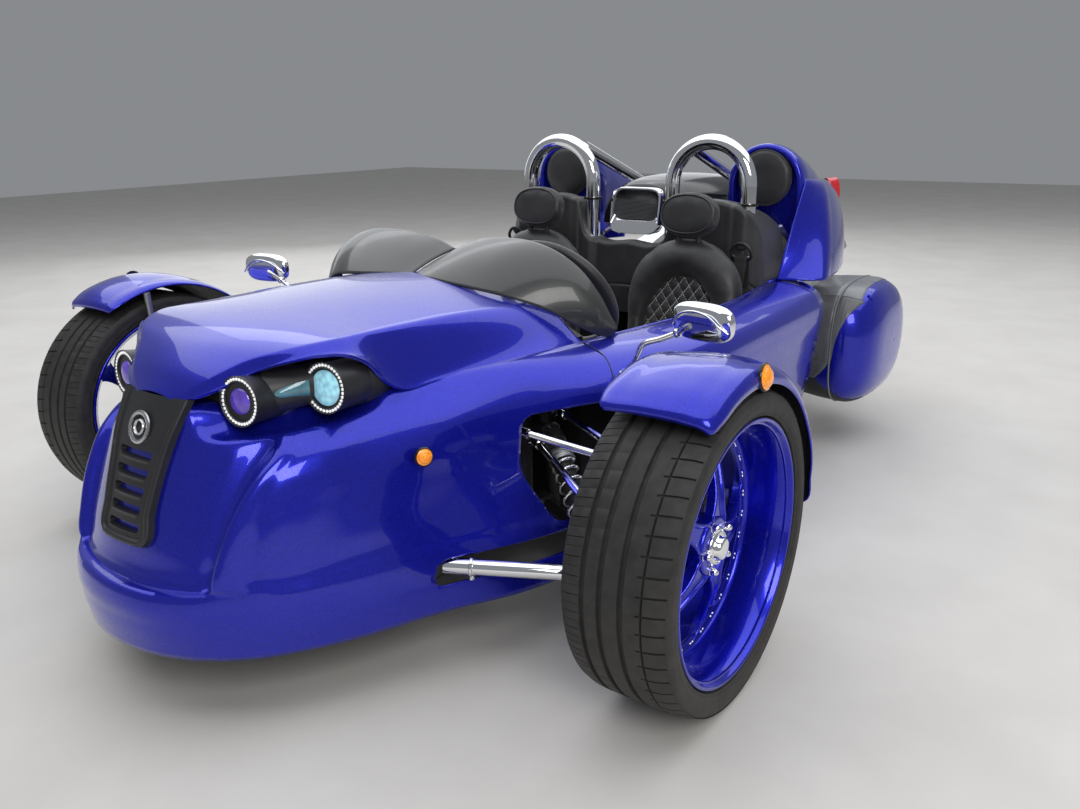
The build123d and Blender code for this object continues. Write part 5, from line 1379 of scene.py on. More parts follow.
# %% [markdown]
# ## Side cases
# A case is a stack of superellipses |y / a|^n + |z / b|^n = 1 along X, with n growing from 2.4 to
# 3.2 where the shell is boxier. A panel of the lid or the case is a patch of the same surface
# between two lines x(a), lifted 1 mm off it.

# %% Side cases
CASE = [
    # x, half length, half height, exponent, shift rearwards, shift upwards
    (505, 3, 3, 2.4, 0, 0), (505, 80, 72, 2.4, 0, 0), (505.4, 165, 150, 2.5, 0, 0), (508, 202, 185, 2.8, 0, 0),
    (520, 226, 205, 3.0, 0, 0), (560, 238, 210, 3.1, 0, 0), (610, 247, 213, 3.2, 0, 0),
    (653, 253, 214, 3.2, 0, 0),
]
LID = [
    (657, 253, 214, 3.2, 0, 0), (690, 252, 213, 3.2, 0, 0), (722, 243, 205, 3.0, 2, 1),
    (748, 226, 190, 2.8, 5, 3), (768, 200, 166, 2.6, 9, 5), (781, 166, 136, 2.4, 12, 7),
    (788, 125, 100, 2.3, 14, 8), (791, 70, 54, 2.1, 15, 8), (792, 2, 2, 2, 15, 8),
]
# Station and height of the middle of a case, and the wall of its two halves in metres
CASE_STATION, CASE_HEIGHT, CASE_WALL = 1800, 350, 0.003
case_grey = plastic("case_grey", (0.20, 0.21, 0.22), 0.22, 0.36, 260, 0.12, 0.05)
ribbed = Tree("ribbed_grey", Roughness=0.3)
ribbed.colour(ribbed.ramp(ribbed.noise(12), [(0.3, (0.10, 0.105, 0.11)), (0.7, (0.16, 0.165, 0.17))]))
rib_wave = ribbed.add("ShaderNodeTexWave", Scale=26.0, Distortion=0.0)
rib_wave.bands_direction = "X"
ribbed.link(ribbed.place(), rib_wave.inputs["Vector"])
ribbed.bump(rib_wave.outputs["Fac"], 0.22, 0.0015)
ribbed_grey = ribbed.material
# Angles run from a case's rear end over its top (90) to its front end (180)
around = np.linspace(0, TAU, 104, endpoint=False)[None]


def shell(table, side, t, angle, lift=0.0):
    """P(t, a): superellipses stacked along X, t the place along the table, lifted off in mm."""
    table = np.array(table, float)
    t, angle = np.broadcast_arrays(t, angle)
    x, long, high, power, back, up = curve(chord_knots(table[:, :3]), table, t.ravel()).T.reshape(6, *t.shape)
    c, s = np.cos(angle), np.sin(angle)
    y = (long + lift) * signed_power(c, 2 / power) + back
    z = (high + lift) * signed_power(s, 2 / power) + up
    return metres(np.stack([side * (x + 0.6 * lift), CASE_STATION + y, CASE_HEIGHT + z], axis=-1))


def half_case(name, table, side, rows, material):
    """One closed half of a case, the lid or the part on the car."""
    skin = shell(table, side, np.linspace(0, 1, rows)[:, None], around)
    return paint(thicken(grid(name, skin[:, ::-side], close_columns=True), CASE_WALL), material)


def panel(table, side, start, stop, angles, material):
    """A thin panel on the shell between two lines x(angle), each given by its ends in mm."""
    fine = np.linspace(0, 1, 400)
    stack = np.array(table, float)
    known = curve(chord_knots(stack[:, :3]), stack[:, 0], fine)
    angle = np.linspace(angles[0], angles[1], 26)[None]
    first, last = (np.linspace(line[0], line[1], 26)[None] for line in (start, stop))
    x = first + (last - first) * np.linspace(0, 1, 10)[:, None]
    points = shell(table, side, np.interp(x, known, fine), np.radians(angle), 1.0)
    return paint(grid("panel", points[:, ::-side]), material)


for name, side in LEFT_RIGHT:
    lid = half_case(f"lid_{name}", LID, side, 36, blue)
    case = half_case(f"case_{name}", CASE, side, 34, satin)
    lid_panels = thicken(join(f"lid_panels_{name}", [
        panel(LID, side, (657.5, 657.5), (736, 658), (130, 184), ribbed_grey),
        panel(LID, side, (657.5, 657.5), (658, 742), (212, 248), satin),
        panel(LID, side, (657.5, 657.5), (712, 726), (64, 129.4), case_grey),
    ]), 0.0012)
    case_panels = thicken(join(f"case_panels_{name}", [
        panel(CASE, side, (512, 512), (652.5, 652.5), (130, 184), ribbed_grey),
        panel(CASE, side, (512, 512), (652, 600), (184, 199), ribbed_grey),
        panel(CASE, side, (652, 601), (652.5, 652.5), (184, 199), blue),
        panel(CASE, side, (601, 652), (652.5, 652.5), (199, 212), blue),
        panel(CASE, side, (512, 512), (652.5, 652.5), (64, 129.4), case_grey),
    ]), 0.0012)
    seam_table = [(655, 254, 215, 3.2, 0, 0), (655.5, 254, 215, 3.2, 0, 0)]
    seam_line = shell(seam_table, side, np.zeros((1, 1)), np.linspace(0, TAU, 160, endpoint=False)[None])[0]
    seam = paint(tube(f"seam_{name}", seam_line, 0.0028, 10, closed=True), case_grey)
    vents = []
    for index in range(5):
        place = point(side * (742 - 5 * index), 1668 + 31 * index, 523 + 5.5 * index)
        slope = point(side * (760 - 5 * index), 1672 + 31 * index, 500 + 5.5 * index) - place
        path = place + np.linspace(-0.55, 0.55, 12)[:, None] * slope
        width = 0.0058 * np.sqrt(np.clip(1 - np.linspace(-1, 1, 12) ** 4, 0.02, 1))
        hood_path = path + np.array([side * 0.002, -0.0062, 0.0035])
        vents.append(paint(tube("vent", path, width, 14), gloss_black))
        vents.append(paint(tube("vent_hood", hood_path, width * 0.85, 12), blue))
    vents = join(f"vents_{name}", vents)
    fit(f"lid_{name}", "body_blue", lid)
    fit(f"lid_{name}", "satin_black", vents)
    fit(f"lid_{name}", "cast_alloy", lid_panels)
    fit("car", "satin_black", case)
    fit("car", "cast_alloy", case_panels, seam)
    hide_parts(f"case_lid_{name}")
    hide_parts(f"side_case_{name}")
print("case lid:", len(lid.data.polygons), "faces")

# %% [markdown]
# ## Seats
# A padded piece starts as a closed solid, is remeshed in even cells and blown up as cloth, then its
# movement is capped so that it keeps to its place. The diamond panel is a height field,
# h = 5 mm (|sin a| |sin b|)^0.6 with a and b running along the two slants of the stitching.

# %% Padding
CLOTH_FRAMES = 20


def puff(piece, cell, pressure, cap):
    """Blow a closed piece up as cloth, cap how far it moved, and make that its shape."""
    remesh = piece.modifiers.new("cells", "REMESH")
    remesh.mode = "VOXEL"
    remesh.voxel_size = cell
    settle(piece)
    before = coordinates(piece.data)
    cloth = piece.modifiers.new("cloth", "CLOTH")
    cloth.settings.use_pressure = True
    cloth.settings.uniform_pressure_force = pressure
    cloth.settings.tension_stiffness = cloth.settings.compression_stiffness = 12
    cloth.settings.effector_weights.gravity = 0
    cloth.point_cache.frame_start, cloth.point_cache.frame_end = 1, CLOTH_FRAMES
    for moment in range(1, CLOTH_FRAMES + 1):
        scene.frame_set(moment)
    after = coordinates(worked_out(piece))
    piece.modifiers.clear()
    scene.frame_set(1)
    move = after - before
    far = np.linalg.norm(move, axis=1, keepdims=True)
    move *= np.minimum(1, cap / np.maximum(far, 1e-9))
    piece.data.vertices.foreach_set("co", (before + move).ravel())
    soft = piece.modifiers.new("soft", "SMOOTH")
    soft.factor = 0.6
    soft.iterations = 3
    fine = piece.modifiers.new("fine", "SUBSURF")
    fine.levels = fine.render_levels = 1
    smooth(piece.data)
    return piece


def rounded(name, outline, depth, frame_of, edge=0.4, rings=9):
    """A closed cushion: an outline (u, v) swelling over its depth, put in place by frame_of(u, v, w)."""
    outline = np.asarray(outline, float)
    middle = outline.mean(axis=0)
    rows = []
    for w in np.linspace(-1, 1, rings):
        shrink = (1 - abs(w) ** 3) ** edge if abs(w) < 1 else 0.0
        scale = 0.80 + 0.20 * shrink
        rows.append([frame_of(*(middle + (p - middle) * scale), w * depth / 2) for p in outline])
    first, last = ([[frame_of(*middle, w)] * len(outline)] for w in (-depth / 2, depth / 2))
    return grid(name, np.array(first + rows + last), close_columns=True)


# %% Seats
SEAT_X = 294.0
BACK_LEAN = 0.20
QUILT_PITCH = 38.0
LEG_HALF = 26.0
# The diamonds are taller than wide by this
SLOPE = 1.35
# Quilted panels: half width, foot, top of the straight sides, rise over them, height of the face
BACK_QUILT = (150, 10, 212, 100, 10)
PAD_QUILT = (140, 6, 290, 70, 14)


def back_place(side):
    """Seat-back coordinates: u across, v up the lean, w out towards the front, in millimetres."""
    lean = math.atan(BACK_LEAN)
    up = np.array([0, math.sin(lean), math.cos(lean)])
    out = np.array([0, -math.cos(lean), math.sin(lean)])
    foot = np.array([side * SEAT_X / 1000, float(S(1098)), 0.330])
    return lambda u, v, w: foot + np.array([u, 0, 0]) / 1000 + up * v / 1000 + out * w / 1000


def arch_line(half, straight, rise, count):
    """An arch from the lower right over the top to the lower left, as (u, v)."""
    angle = np.linspace(0, np.pi, count)
    bow = np.column_stack([half * np.cos(angle), straight + rise * np.sin(angle) ** 0.9])
    foot = np.linspace(0, 1, 14)[:-1, None]
    right = (1 - foot) * [[half, 0]] + foot * [[half, straight]]
    left = (1 - foot[::-1]) * [[-half, 0]] + foot[::-1] * [[-half, straight]]
    return np.vstack([right, bow, left])


def bolster(name, line, place, thick, deep, pleats):
    """A padded roll along an arch: an oval section, pinched a little at each pleat."""
    along = smooth_path(line, 220)
    ahead = np.gradient(along, axis=0)
    ahead /= np.linalg.norm(ahead, axis=1)[:, None]
    across = np.column_stack([ahead[:, 1], -ahead[:, 0]])
    angle = np.linspace(0, TAU, 40, endpoint=False)
    t = np.linspace(0, 1, len(along))
    seam = np.exp(-((((t * pleats) % 1) - 0.5) / 0.10) ** 2)
    pinch = 1 - 0.055 * seam * smoothstep(0.12, 0.22, t) * (1 - smoothstep(0.78, 0.88, t))
    ends = np.minimum(1, np.sqrt(np.clip(np.minimum(t, 1 - t) / 0.02, 0.01, 1)))
    rings = []
    for p, a, k in zip(along, across, pinch * ends):
        wide = (LEG_HALF + (thick - LEG_HALF) * smoothstep(120, 350, p[1])) * k
        rings.append([place(*(p + a * wide * math.cos(q)), deep * math.sin(q) * k) for q in angle])
    first, last = [[place(*along[0], 0)] * 40], [[place(*along[-1], 0)] * 40]
    return grid(name, np.array(first + rings + last), close_columns=True)


def quilt(shape, place, rows, columns):
    """The diamond panel inside the bolster as a height field."""
    half, low, straight, rise, base = shape
    v = np.linspace(0, 1, rows)[:, None]
    u = np.linspace(-1, 1, columns)[None]
    top = straight + rise * np.sqrt(np.clip(1 - (u * 0.985) ** 2, 0, 1))
    height = low + (top - low) * v
    across = half * u + 0 * v
    a, b = (np.pi * (across / QUILT_PITCH + slant * height / (SLOPE * QUILT_PITCH)) for slant in (1, -1))
    rise_out = base + 5 * (np.abs(np.sin(a)) * np.abs(np.sin(b))) ** 0.6
    cells = np.stack([across, height, rise_out], axis=-1).reshape(-1, 3)
    return np.array([place(*cell) for cell in cells]).reshape(rows, columns, 3)


def stitches(name, shape, place):
    """Dashes of thread along both slants of the diamonds."""
    half, low, straight, rise, base = shape
    points, faces = [], []
    for slant in (1, -1):
        for line in range(-30, 40):
            for step in range(64):
                middle_v = low + 4 + step * 6.6
                middle_u = slant * (line * QUILT_PITCH - middle_v / SLOPE)
                top = straight + rise * math.sqrt(max(0, 1 - min(1, (middle_u / half) ** 2)))
                if abs(middle_u) > half - 4 or middle_v > top - 4:
                    continue
                along = unit([-slant / SLOPE, 1.0])
                across = np.array([along[1], -along[0]])
                faces.append(list(range(len(points), len(points) + 4)))
                for e, f in ((-2.6, -0.9), (2.6, -0.9), (2.6, 0.9), (-2.6, 0.9)):
                    points.append(place(*(np.array([middle_u, middle_v]) + along * e + across * f), base + 1.5))
    return mesh(name, points, faces)


def cushion_place(side):
    """Seat-cushion coordinates: u across, v rearwards to frontwards, w up."""
    foot = np.array([side * SEAT_X / 1000, float(S(1080)), 0.338])
    tilt = math.radians(9)
    forwards = np.array([0, -math.cos(tilt), math.sin(tilt)])
    up = np.array([0, math.sin(tilt), math.cos(tilt)])
    return lambda u, v, w: foot + np.array([u, 0, 0]) / 1000 + forwards * v / 1000 + up * w / 1000


for name, side in LEFT_RIGHT:
    place = back_place(side)
    roll = bolster(f"seat_back_{name}", arch_line(162, 180, 189, 60), place, 66, 46, 9)
    roll = puff(roll, 0.0112, 3, 0.006)
    behind = lambda u, v, w, place=place: place(u, v, w - 34)
    inner = rounded(f"seat_shell_{name}", arch_line(176, 200, 215, 60), 60, behind, 0.5)
    quilted = grid(f"seat_quilt_{name}", quilt(BACK_QUILT, place, 80, 92))
    back_thread = stitches(f"seat_thread_{name}", BACK_QUILT, place)
    place = cushion_place(side)
    ends = bolster(f"seat_cushion_{name}", arch_line(156, 300, 92, 60), place, 50, 40, 7)
    ends = puff(ends, 0.0112, 3, 0.006)
    below = lambda u, v, w, place=place: place(u, v, w - 52)
    pan = rounded(f"seat_pan_{name}", arch_line(165, 320, 110, 60), 90, below, 0.5)
    bottom = grid(f"seat_pad_{name}", quilt(PAD_QUILT, place, 68, 74))
    bottom_thread = stitches(f"seat_pad_thread_{name}", PAD_QUILT, place)
    padding, threads = (roll, inner, quilted, ends, pan, bottom), (back_thread, bottom_thread)
    for pieces, material in ((padding, hide), (threads, thread)):
        for piece in pieces:
            paint(piece, material)
    fit("car", "black_leather", *padding, *threads)
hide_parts("seats")
print("seat back:", len(roll.data.polygons), "faces; stitches:", len(back_thread.data.polygons))

# %% Head rests and round pads
def rest_outline(half_wide, half_high, power, count=72):
    """A superellipse outline as (u, v)."""
    angle = np.linspace(0, TAU, count, endpoint=False)
    c, s = np.cos(angle), np.sin(angle)
    return np.column_stack([half_wide * signed_power(c, 2 / power), half_high * signed_power(s, 2 / power)])


for name, side in LEFT_RIGHT:
    middle = np.array([side * SEAT_X / 1000, float(S(1168)), 0.830])
    up, out = np.array([0, 0.21, 0.978]), np.array([0, -0.978, 0.21])
    hold = lambda u, v, w, m=middle: m + np.array([u, 0, 0]) / 1000 + up * v / 1000 + out * w / 1000
    rest = puff(rounded(f"head_rest_{name}", rest_outline(100, 70, 2.35), 56, hold, 0.42), 0.0084, 2, 0.003)
    piping_line = [hold(u, v, 26) for u, v in rest_outline(88, 60, 2.35, 120)]
    piping = [paint(tube("piping", piping_line, 0.0024, 10, closed=True), hide)]
    for offset in (-36, 36):
        post = [hold(offset, -52, -8), hold(offset, -92, -14), hold(offset * 0.96, -150, -12)]
        piping.append(paint(tube("post", post, 0.0085, 16), satin))
    piping = join(f"head_rest_trim_{name}", piping)
    centre = np.array([side * 0.400, float(S(1514)), 0.928])
    hold = lambda u, v, w, m=centre: m + np.array([u, -w, v]) / 1000
    pad = puff(rounded(f"round_pad_{name}", rest_outline(93, 95, 2.0), 44, hold, 0.5), 0.0095, 3, 0.004)
    ring_line = [hold(u, v, 12) for u, v in rest_outline(88, 90, 2.0, 120)]
    ring = paint(tube(f"round_pad_piping_{name}", ring_line, 0.0028, 10, closed=True), hide)
    for piece in (rest, pad):
        paint(piece, hide)
    fit("car", "black_leather", rest, piping, pad, ring)
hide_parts("head_pads")
print("head rest:", len(rest.data.polygons), "faces")

# %% [markdown]
# ## Bulkhead, intake and belts
# The moulding behind the seats is one closed skin. Its front stands forward in ribs,
# d(x) = 24 exp(-((|x| - c) / 34)^4), over each leg of the hoops, and its top edge is rounded.

# %% Bulkhead
# x and height of the top edge, from the middle of the car
TOP_LINE = np.array([
    (0, 716), (120, 718), (160, 744), (196, 842), (235, 858), (380, 860), (430, 850), (468, 806), (492, 730),
    (502, 640),
], float)
# Stations of its front and back, height of its foot, radius of its top edge, x of its ribs
BULKHEAD_FRONT, BULKHEAD_BACK, BULKHEAD_FOOT, TOP_ROUND, RIBS = 1258, 1340, 470, 16, (160, 426)


def bulkhead_skin(columns):
    """A closed loop of stations and heights at each x: front, rolled top, back and bottom."""
    x = np.linspace(-500, 500, columns)
    top = curve(TOP_LINE[:, 0] / TOP_LINE[-1, 0], TOP_LINE, np.abs(x) / TOP_LINE[-1, 0])[:, 1]
    back = BULKHEAD_BACK + 125 * smoothstep(436, 490, np.abs(x))
    front = 14 * smoothstep(430, 500, np.abs(x)) ** 2
    ribs = sum(24 * np.exp(-((np.abs(x) - middle) / 34) ** 4) for middle in RIBS)
    hollow_pad = 10 * np.exp(-((np.abs(x) - SEAT_X) / 70) ** 6)
    loop = []
    for v in np.linspace(0, 1, 60):
        fade = smoothstep(0.02, 0.12, v)
        crease = 5 * math.exp(-((v - 0.42) / 0.012) ** 2)
        station = BULKHEAD_FRONT - (ribs - hollow_pad) * fade + crease + TOP_ROUND * v + front
        loop.append(np.column_stack([x, station, BULKHEAD_FOOT + (top - TOP_ROUND - BULKHEAD_FOOT) * v]))
    for turn in np.linspace(0, np.pi / 2, 8)[1:]:
        station = BULKHEAD_FRONT + TOP_ROUND - (ribs - hollow_pad) + TOP_ROUND * (1 - math.cos(turn)) + front
        loop.append(np.column_stack([x, station, top - TOP_ROUND + TOP_ROUND * math.sin(turn)]))
    loop.append(np.column_stack([x, back - 6, top]))
    loop.append(np.column_stack([x, back, top - 6]))
    loop.append(np.column_stack([x, back, BULKHEAD_FOOT + 0 * x]))
    loop = np.array(loop)
    first, last = loop[:, :1].copy(), loop[:, -1:].copy()
    first[..., 1:] = first[..., 1:].mean(axis=0)
    last[..., 1:] = last[..., 1:].mean(axis=0)
    return metres(np.concatenate([first, loop, last], axis=1))


moulding = paint(grid("bulkhead_moulding", bulkhead_skin(132), close_rows=True), hide)
fit("car", "satin_black", moulding)
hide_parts("rear_bulkhead")
for name, side in LEFT_RIGHT:
    collar = [(0, 25), (0, 33), (4, 34.5), (8, 33), (9, 25)]
    collars = join(f"hoop_collars_{name}", [
        turned("collar", collar, at(side * x, 1310, 852), (0, 0, 1), 40, gloss_black) for x in (158, 430)
    ])
    fit("car", "satin_black", collars)
print("bulkhead:", len(moulding.data.polygons), "faces")

# %% [markdown]
# The air intake between the seats has a bright frame: a rounded square ring whose section is a
# bevel, round a mesh of fine wires, deeper along its foot.

# %% Intake
def round_square(half_wide, low, high, corner, count=96):
    """A rounded rectangle as (x, z)."""
    angle = np.linspace(0, TAU, count, endpoint=False)
    c, s = np.cos(angle), np.sin(angle)
    middle = (low + high) / 2
    grow = lambda value, half: signed_power(value, 0.28) * (half - corner) + value * corner
    return np.column_stack([grow(c, half_wide), middle + grow(s, (high - low) / 2)])


def lean(z):
    """Station of the intake's face at a height."""
    return 1330 + 0.16 * (z - 740)


INTAKE = (
    # half width, lower and upper height, corner, millimetres out of the face
    (98, 736, 895, 14, -26), (98, 736, 895, 14, 8), (96, 738, 893, 13, 12), (92, 746, 889, 11, 13),
    (85, 782, 881, 8, 2), (84, 784, 880, 8, -18),
)
ring_rows = []
for half, low, high, corner, out in INTAKE:
    outline = round_square(half, low, high, corner)
    ring_rows.append(np.column_stack([outline[:, 0], lean(outline[:, 1]) - out, outline[:, 1]]))
intake_ring = paint(grid("intake_ring", metres(ring_rows), close_rows=True, close_columns=True), chrome)
mesh_grey = plastic("mesh_grey", (0.09, 0.095, 0.10), 0.28, 0.4)
level = [[at(x, lean(z) + 10, z) for x in (-86, 0, 86)] for z in np.linspace(787, 877, 22)]
upright = [[at(x, lean(z) + 12, z) for z in (784, 880)] for x in np.linspace(-82, 82, 34)]
wires = [
    paint(tube("wire", line, radius, 6), mesh_grey)
    for lines, radius in ((level, 0.0013), (upright, 0.0012)) for line in lines
]
intake_back = grid("intake_back", [[at(x, 1358, z) for x in (-90, 90)] for z in (762, 886)])
paint(thicken(intake_back, 0.002, 0), satin)
mesh_piece = join("intake_mesh", wires)
fit("car", "chrome", intake_ring)
fit("car", "satin_black", mesh_piece, intake_back)
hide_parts("intake_frame")
print("intake mesh:", len(mesh_piece.data.polygons), "faces")

# %% [markdown]
# The engine cover is a smooth dome: half superellipses |x / a|^2.6 + |z / b|^2.2 = 1 along the car.

# %% Engine cover
COVER = np.array([
    # station, half width, foot, crown
    (1362, 138, 766, 888), (1368, 147, 764, 899), (1390, 156, 764, 908), (1470, 176, 766, 920),
    (1600, 198, 764, 926), (1760, 204, 762, 922), (1880, 200, 760, 912), (1940, 194, 760, 904),
    (1956, 186, 760, 894), (1962, 170, 762, 876),
], float)
rows = []
for station, half, foot, crown in curve(chord_knots(COVER[:, :2]), COVER, np.linspace(0, 1, 70)):
    angle = np.linspace(0, np.pi, 61)
    c, s = np.cos(angle), np.sin(angle)
    x = half * signed_power(c, 2 / 2.6)
    z = foot + (crown - foot) * np.abs(s) ** (2 / 2.2)
    rows.append(np.column_stack([x / 1000, np.full(61, S(station)), z / 1000]))
rows = np.array(rows)
front, back = (row.mean(axis=1, keepdims=True) * np.ones((1, 61, 1)) for row in (rows[:1], rows[-1:]))
rows = np.concatenate([front, rows, back])
cover = paint(grid("engine_cover_skin", rows[:, ::-1], close_columns=True), gloss_black)
fit("car", "satin_black", cover)
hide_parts("engine_cover")

# %% Belts
def strap(name, points, width_way, width=44.0, thick=1.7):
    """A flat strap along a path: a thin rounded section, in millimetres, carried along it."""
    path = smooth_path(points, 50)
    ahead = np.gradient(path, axis=0)
    ahead /= np.linalg.norm(ahead, axis=1)[:, None]
    wide = width_way - ahead * (ahead @ width_way)[:, None]
    wide /= np.linalg.norm(wide, axis=1)[:, None]
    flat = np.cross(ahead, wide)
    angle = np.linspace(0, TAU, 28, endpoint=False)
    c = signed_power(np.cos(angle), 0.35) * width / 2000
    s = np.sin(angle) * thick / 2000
    rings = path[:, None] + wide[:, None] * c[None, :, None] + flat[:, None] * s[None, :, None]
    first, last = ([np.repeat(end, 28, axis=0)] for end in (path[:1], path[-1:]))
    return grid(name, np.concatenate([first, rings, last]), close_columns=True)


for name, side in LEFT_RIGHT:
    guide_at = lambda u, v, w, side=side: point(side * (446 + u), 1236 - w, 712 + v)
    border = [(-30, -14), (30, -14), (34, -6), (8, 30), (-8, 30), (-34, -6)]
    border = [guide_at(u, v, 0.25 * v) for u, v in border]
    loop = paint(tube("guide", smooth_path(border + border[:1], 80), 0.0055, 14), satin)
    bar = paint(tube("bar", [guide_at(-27, -13, -3), guide_at(27, -13, -3)], 0.0045, 12), steel)
    head = [(-12, 0), (-12, 13), (4, 13), (7, 11), (8, 6), (8, 0)]
    bolt = turned("bolt", head, guide_at(0, 22, 0), (0, -1, 0.2), 32, satin)
    run = [(-6, -152, 26), (-3, -90, 20), (0, -30, 8), (0, -10, 2), (0, -8, -6), (2, -40, -10), (4, -110, -8)]
    belt = paint(strap("belt", [guide_at(*p) for p in run], np.array([1.0, 0, 0])), webbing)
    belts = join(f"belt_{name}", [loop, bar, bolt, belt])
    fit("car", "belt_webbing", belts)
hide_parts("seat_belts")

# %% [markdown]
# ## Steering wheel
# The rim is a torus, a little oval in section, wrapped in hide with a seam on its inner side.

# %% Steering wheel
HUB, COLUMN_EYE = point(270, 460, 682), point(270, 380, 636)
column_way = unit(HUB - COLUMN_EYE)
across_way = np.array([1.0, 0, 0])
up_way = np.cross(column_way, across_way)


def rim_point(radius, turn, out):
    """A point of the steering wheel: millimetres from the hub, turn from the right, out along the column."""
    radial = across_way * math.cos(turn) + up_way * math.sin(turn)
    return HUB + radial * radius / 1000 + column_way * out / 1000


def rim_rows(radius, wide, deep, turns, sides=28):
    """A ring with an oval section round the hub."""
    section = np.linspace(0, TAU, sides, endpoint=False)
    return np.array([
        [rim_point(radius + wide * math.cos(q), turn, deep * math.sin(q)) for q in section] for turn in turns
    ])


HELM_SPOKE = (
    # distance from the hub, half width, half thickness, millimetres out along the column
    (22, 26, 5, -4), (50, 20, 4, -5), (80, 15, 3, -6), (120, 14, 3, -4), (146, 17, 3, -1), (152, 18, 3, 0),
)
grip = rim_rows(161, 16, 15, np.linspace(0, TAU, 121)[:-1])
wheel_parts = [paint(grid("grip", grip, close_rows=True, close_columns=True), hide)]
seam_points = [rim_point(145.5 + 0.8 * (-1) ** i, TAU * i / 260, 1.2) for i in range(260)]
wheel_parts.append(paint(tube("seam", seam_points, 0.0009, 6, closed=True), thread))
for turn in (0, math.pi, 1.5 * math.pi):
    rows = []
    ahead = np.array([math.cos(turn), math.sin(turn)])
    aside = np.array([-ahead[1], ahead[0]])
    for radius, wide, thick, out in HELM_SPOKE:
        ring = []
        for q in np.linspace(0, TAU, 20, endpoint=False):
            u, v = ahead * radius + aside * wide * signed_power(math.cos(q), 0.5)
            lift = column_way * (out + thick * math.sin(q)) / 1000
            ring.append(HUB + across_way * u / 1000 + up_way * v / 1000 + lift)
        rows.append(ring)
    first, last = ([[np.mean(ring, axis=0)] * 20] for ring in (rows[0], rows[-1]))
    wheel_parts.append(paint(grid("spoke", np.array(first + rows + last), close_columns=True), satin))
pad = [(-41, 0), (-41, 24), (-12, 24), (-12, 46), (-8, 48), (6, 47), (16, 42), (22, 34), (24, 20), (24.5, 0)]
wheel_parts.append(turned("pad", pad, HUB, tuple(column_way), 64, hide))
helm = join("steering_wheel_dressed", wheel_parts)
fit("steering", "wheel_leather", helm)
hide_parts("steering_wheel")
print("steering wheel:", len(helm.data.polygons), "faces")

# %% [markdown]
# ## Front suspension
# Every link is a profile turned about its own line: `link` carries a table of (place, radius) from
# one joint to the other, with places below zero counted back from the far joint. The spring is a
# helix c(t) + r (n cos a + b sin a).

# %% Links
def link(name, start, end, table, steps, material):
    """A turned bar between two points in metres from a table of (place, radius) in millimetres."""
    start, end = np.asarray(start, float), np.asarray(end, float)
    length = np.linalg.norm(end - start) * 1000
    profile = [(place if place >= 0 else length + place, radius) for place, radius in table]
    return turned(name, profile, start, tuple(unit(end - start)), steps, material)


def helix(name, start, end, radius, wire, turns, material, sides=14):
    """A coil between two points in metres, with flattened ends."""
    start, end = np.asarray(start, float), np.asarray(end, float)
    axis = Vector(end - start).normalized()
    first = axis.orthogonal().normalized()
    second = axis.cross(first)
    t = np.linspace(0, 1, int(turns * 30))
    climb = smoothstep(0.0, 1.0, t) * 0.35 + 0.65 * t
    angle = TAU * turns * t
    swing = np.outer(np.cos(angle), first) + np.outer(np.sin(angle), second)
    path = start + climb[:, None] * (end - start) + radius * swing
    return paint(tube(name, path, wire, sides), material)


def eye(centre, axis, radius, length, material):
    """A link's end: a ring with a bush and a bolt through it."""
    centre, axis = np.asarray(centre, float), unit(axis)
    half = length / 2
    ring = [
        (-half, radius * 0.62), (-half, radius - 1.5), (-half + 1.5, radius),
        (half - 1.5, radius), (half, radius - 1.5), (half, radius * 0.62),
    ]
    inside = [(-half + 1, 0), (-half + 1, radius * 0.63), (half - 1, radius * 0.63), (half - 1, 0)]
    head = [
        (half - 1, 0), (half - 1, radius * 0.5), (half + 5, radius * 0.5), (half + 6, radius * 0.36),
        (half + 6, 0),
    ]
    return [
        turned("ring", ring, centre, tuple(axis), 40, material),
        turned("bush", inside, centre, tuple(axis), 32, satin),
        turned("head", head, centre, tuple(axis), 6, steel),
        turned("nut", head, centre, tuple(-axis), 6, steel),
    ]


def clamp(centre, axis, radius, material):
    """A narrow clamp ring with its bolt."""
    ring = [(-3.5, 0), (-3.5, 3), (-2.5, 4), (2.5, 4), (3.5, 3), (3.5, 0)]
    ring = [(a, radius + r) for a, r in ring]
    ear = np.asarray(centre, float) + np.array([0, 0, -(radius + 9) / 1000])
    return [
        turned("band", ring, centre, axis, 40, material),
        turned("ear", [(-3, 0), (-3, 6), (3, 6), (3, 0)], ear, axis, 16, material),
        turned("bolt", [(3, 0), (3, 3.4), (6, 3.4), (6, 0)], ear, axis, 6, steel),
    ]


